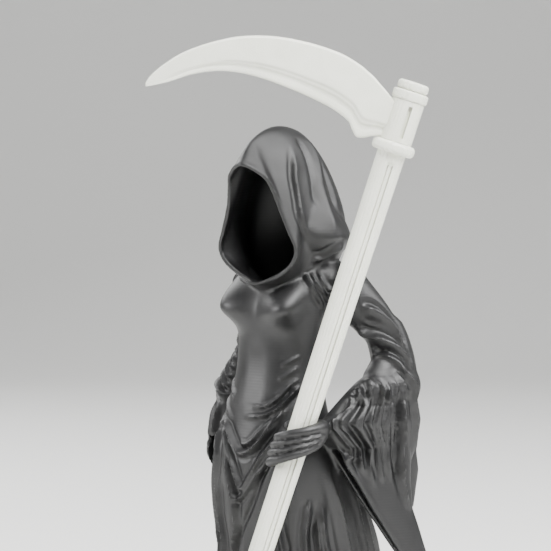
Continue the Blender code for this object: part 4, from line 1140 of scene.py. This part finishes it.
def printed_plastic(name, dark, light, rough, layers_up, pitch, depth):
    """A fused-filament print: fine layers across the build's own up, a little mottled.

    Dark and light are the two ends of its colour, rough the two ends of its roughness; pitch and depth
    of the layers are in metres."""
    finish = bpy.data.materials.new(name)
    finish.use_nodes = True
    tree = finish.node_tree
    skin = tree.nodes["Principled BSDF"]
    where = add(tree, "ShaderNodeTexCoord")
    rise = add(tree, "ShaderNodeVectorMath", {0: (where, "Object"), 1: layers_up}, operation="DOT_PRODUCT")
    # a slow waver, so that the layers do not run as a ruled grid
    waver = add(tree, "ShaderNodeTexNoise", {"Vector": (where, "Object"), "Scale": 90.0, "Detail": 2.0})
    bent = add(tree, "ShaderNodeMath", {0: (waver, 0), 1: 0.25 * pitch, 2: (rise, "Value")},
               operation="MULTIPLY_ADD")
    turns = add(tree, "ShaderNodeMath", {0: (bent, 0), 1: 2 * math.pi / pitch}, operation="MULTIPLY")
    layers = add(tree, "ShaderNodeMath", {0: (turns, 0)}, operation="SINE")
    # the melt's own fine grain, about a third of a millimetre
    grain = add(tree, "ShaderNodeTexNoise", {"Vector": (where, "Object"), "Scale": 3000.0, "Detail": 3.0})
    mixed = add(tree, "ShaderNodeMath", {0: (grain, 0), 1: 0.6, 2: (layers, 0)}, operation="MULTIPLY_ADD")
    bump = add(tree, "ShaderNodeBump", {"Height": (mixed, 0), "Strength": 1.0, "Distance": depth})
    patches = add(tree, "ShaderNodeTexNoise", {"Vector": (where, "Object"), "Scale": 160.0, "Detail": 4.0})
    tone = add(tree, "ShaderNodeMix", {"Factor": (patches, 0), 6: linear(dark), 7: linear(light)},
               data_type="RGBA")
    gloss = add(tree, "ShaderNodeMapRange", {
        "Value": (patches, 0), "From Min": 0.3, "From Max": 0.7, "To Min": rough[0], "To Max": rough[1]})
    tree.links.new(tone.outputs[2], skin.inputs["Base Color"])
    tree.links.new(gloss.outputs[0], skin.inputs["Roughness"])
    tree.links.new(bump.outputs[0], skin.inputs["Normal"])
    skin.inputs["IOR"].default_value = 1.46
    return finish


def black_silk_pla():
    """Black silk-finish PLA, printed standing: broad soft highlights over a near-black body, level layers.

    A real layer is 0.12 to 0.2 mm, under a pixel here, so it is drawn at 0.8 mm, and shallow."""
    finish = printed_plastic("black_silk_pla", "#080809", "#0e0e0f", (0.45, 0.53), (0, 0, 1), 8e-4, 4e-6)
    skin = finish.node_tree.nodes["Principled BSDF"]
    skin.inputs["Specular IOR Level"].default_value = 0.7
    return finish


def pale_glow_pla():
    """Pale glow-in-the-dark PLA, printed lying flat: milky greenish white, a little light goes into it.

    Its layers lie across the way out of the blade, drawn at 0.6 mm so that they show."""
    out_of_blade = shaft_frame().to_3x3() @ Vector((0, 1, 0))
    finish = printed_plastic("pale_glow_pla", "#dfe1d2", "#f0f1e6", (0.36, 0.46), out_of_blade, 6e-4, 6e-5)
    skin = finish.node_tree.nodes["Principled BSDF"]
    skin.inputs["Subsurface Weight"].default_value = 0.1
    skin.inputs["Subsurface Radius"].default_value = (0.0004, 0.0005, 0.0003)
    skin.inputs["Subsurface Scale"].default_value = 1.0
    return finish


# The studio


CAMERA_AZIMUTH = 42.0
CAMERA_ELEVATION = 4.0
CAMERA_DISTANCE = 0.700
PIXEL = 0.000277  # metres on the object to a pixel of the 551 x 551 picture
PICTURE = 551
MIDDLE_UP = 0.130  # what the camera looks at: the height, and how far off the axis in pixels
MIDDLE_ACROSS = -2.5
LAMPS = [  # azimuth, elevation, distance, size, watts
    ("overhead", 70, 72, 0.7, 0.6, 6.0),
    ("key", 72, 48, 0.7, 0.4, 10.0),
    ("right_high", 128, 38, 0.8, 0.5, 8.0),
    ("front_left", -36, 20, 0.9, 0.35, 7.0),
    ("back_left", -100, 35, 0.8, 0.5, 5.0),
]


def flat_finish(name, colour, rough):
    finish = bpy.data.materials.new(name)
    finish.use_nodes = True
    skin = finish.node_tree.nodes["Principled BSDF"]
    skin.inputs["Base Color"].default_value = linear(colour)
    skin.inputs["Roughness"].default_value = rough
    return finish


def sweep_floor():
    """A pale floor that curves up into a pale wall behind, with no seam."""
    bm = bmesh.new()
    radius, wall, front, back, half_width = 0.6, 3.0, -2.5, 0.9, 3.5
    profile = [(front, 0.0), (back, 0.0)]
    for turn in np.linspace(0, math.pi / 2, 24)[1:]:
        profile.append((back + radius * math.sin(turn), radius * (1 - math.cos(turn))))
    profile.append((back + radius, wall))
    rows = []
    turn = Matrix.Rotation(math.radians(CAMERA_AZIMUTH), 4, "Z")
    for across in (-half_width, half_width):
        rows.append([bm.verts.new(turn @ Vector((across, y, z))) for y, z in profile])
    for i in range(len(profile) - 1):
        bm.faces.new((rows[0][i], rows[1][i], rows[1][i + 1], rows[0][i + 1]))
    floor = new_object("floor", bm, bpy.context.scene.collection)
    floor.data.shade_smooth()
    floor.data.materials.append(flat_finish("pale_floor", "#efefed", 0.85))


def soft_light(name, azimuth, elevation, distance, size, watts):
    """A square soft box that looks at the figure's middle; azimuth runs as the camera's does."""
    lamp = bpy.data.lights.new(name, "AREA")
    lamp.energy = watts
    lamp.size = size
    made = bpy.data.objects.new(name, lamp)
    bpy.context.scene.collection.objects.link(made)
    back = view_back(azimuth, elevation)
    made.matrix_world = facing(azimuth, back, Vector((0, 0, 0.1)) + back * distance)


def view_back(azimuth, elevation):
    """The way from what is looked at to the eye, in degrees from her front towards her left."""
    a, e = math.radians(azimuth), math.radians(elevation)
    return Vector((math.sin(a) * math.cos(e), -math.cos(a) * math.cos(e), math.sin(e)))


def facing(azimuth, back, place):
    a = math.radians(azimuth)
    right = Vector((math.cos(a), math.sin(a), 0))
    turn = Matrix((right, back.cross(right), back)).transposed()
    return Matrix.Translation(place) @ turn.to_4x4()


def picture_camera():
    """The photograph's view."""
    lens = bpy.data.cameras.new("picture_camera")
    lens.sensor_width = 36.0
    lens.lens = lens.sensor_width * CAMERA_DISTANCE / (PICTURE * PIXEL)
    lens.clip_start = 0.01
    made = bpy.data.objects.new("picture_camera", lens)
    bpy.context.scene.collection.objects.link(made)
    a = math.radians(CAMERA_AZIMUTH)
    right = Vector((math.cos(a), math.sin(a), 0))
    back = view_back(CAMERA_AZIMUTH, CAMERA_ELEVATION)
    middle = right * (MIDDLE_ACROSS * PIXEL) + Vector((0, 0, MIDDLE_UP))
    made.matrix_world = facing(CAMERA_AZIMUTH, back, middle + back * CAMERA_DISTANCE)
    bpy.context.scene.camera = made


def studio():
    sweep_floor()
    for lamp in LAMPS:
        soft_light(*lamp)
    world = bpy.data.worlds.new("studio_air")
    world.use_nodes = True
    air = world.node_tree.nodes["Background"]
    air.inputs["Color"].default_value = linear("#dcdcda")
    air.inputs["Strength"].default_value = 0.1
    bpy.context.scene.world = world
    picture_camera()


black = black_silk_pla()
pale = pale_glow_pla()
figure = reaper(black)
weapon = scythe(pale)
for piece, node, slot in ((figure, "reaper_figure", "black_plastic"), (weapon, "scythe", "pale_plastic")):
    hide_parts(node)
    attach(piece, "root")
studio()
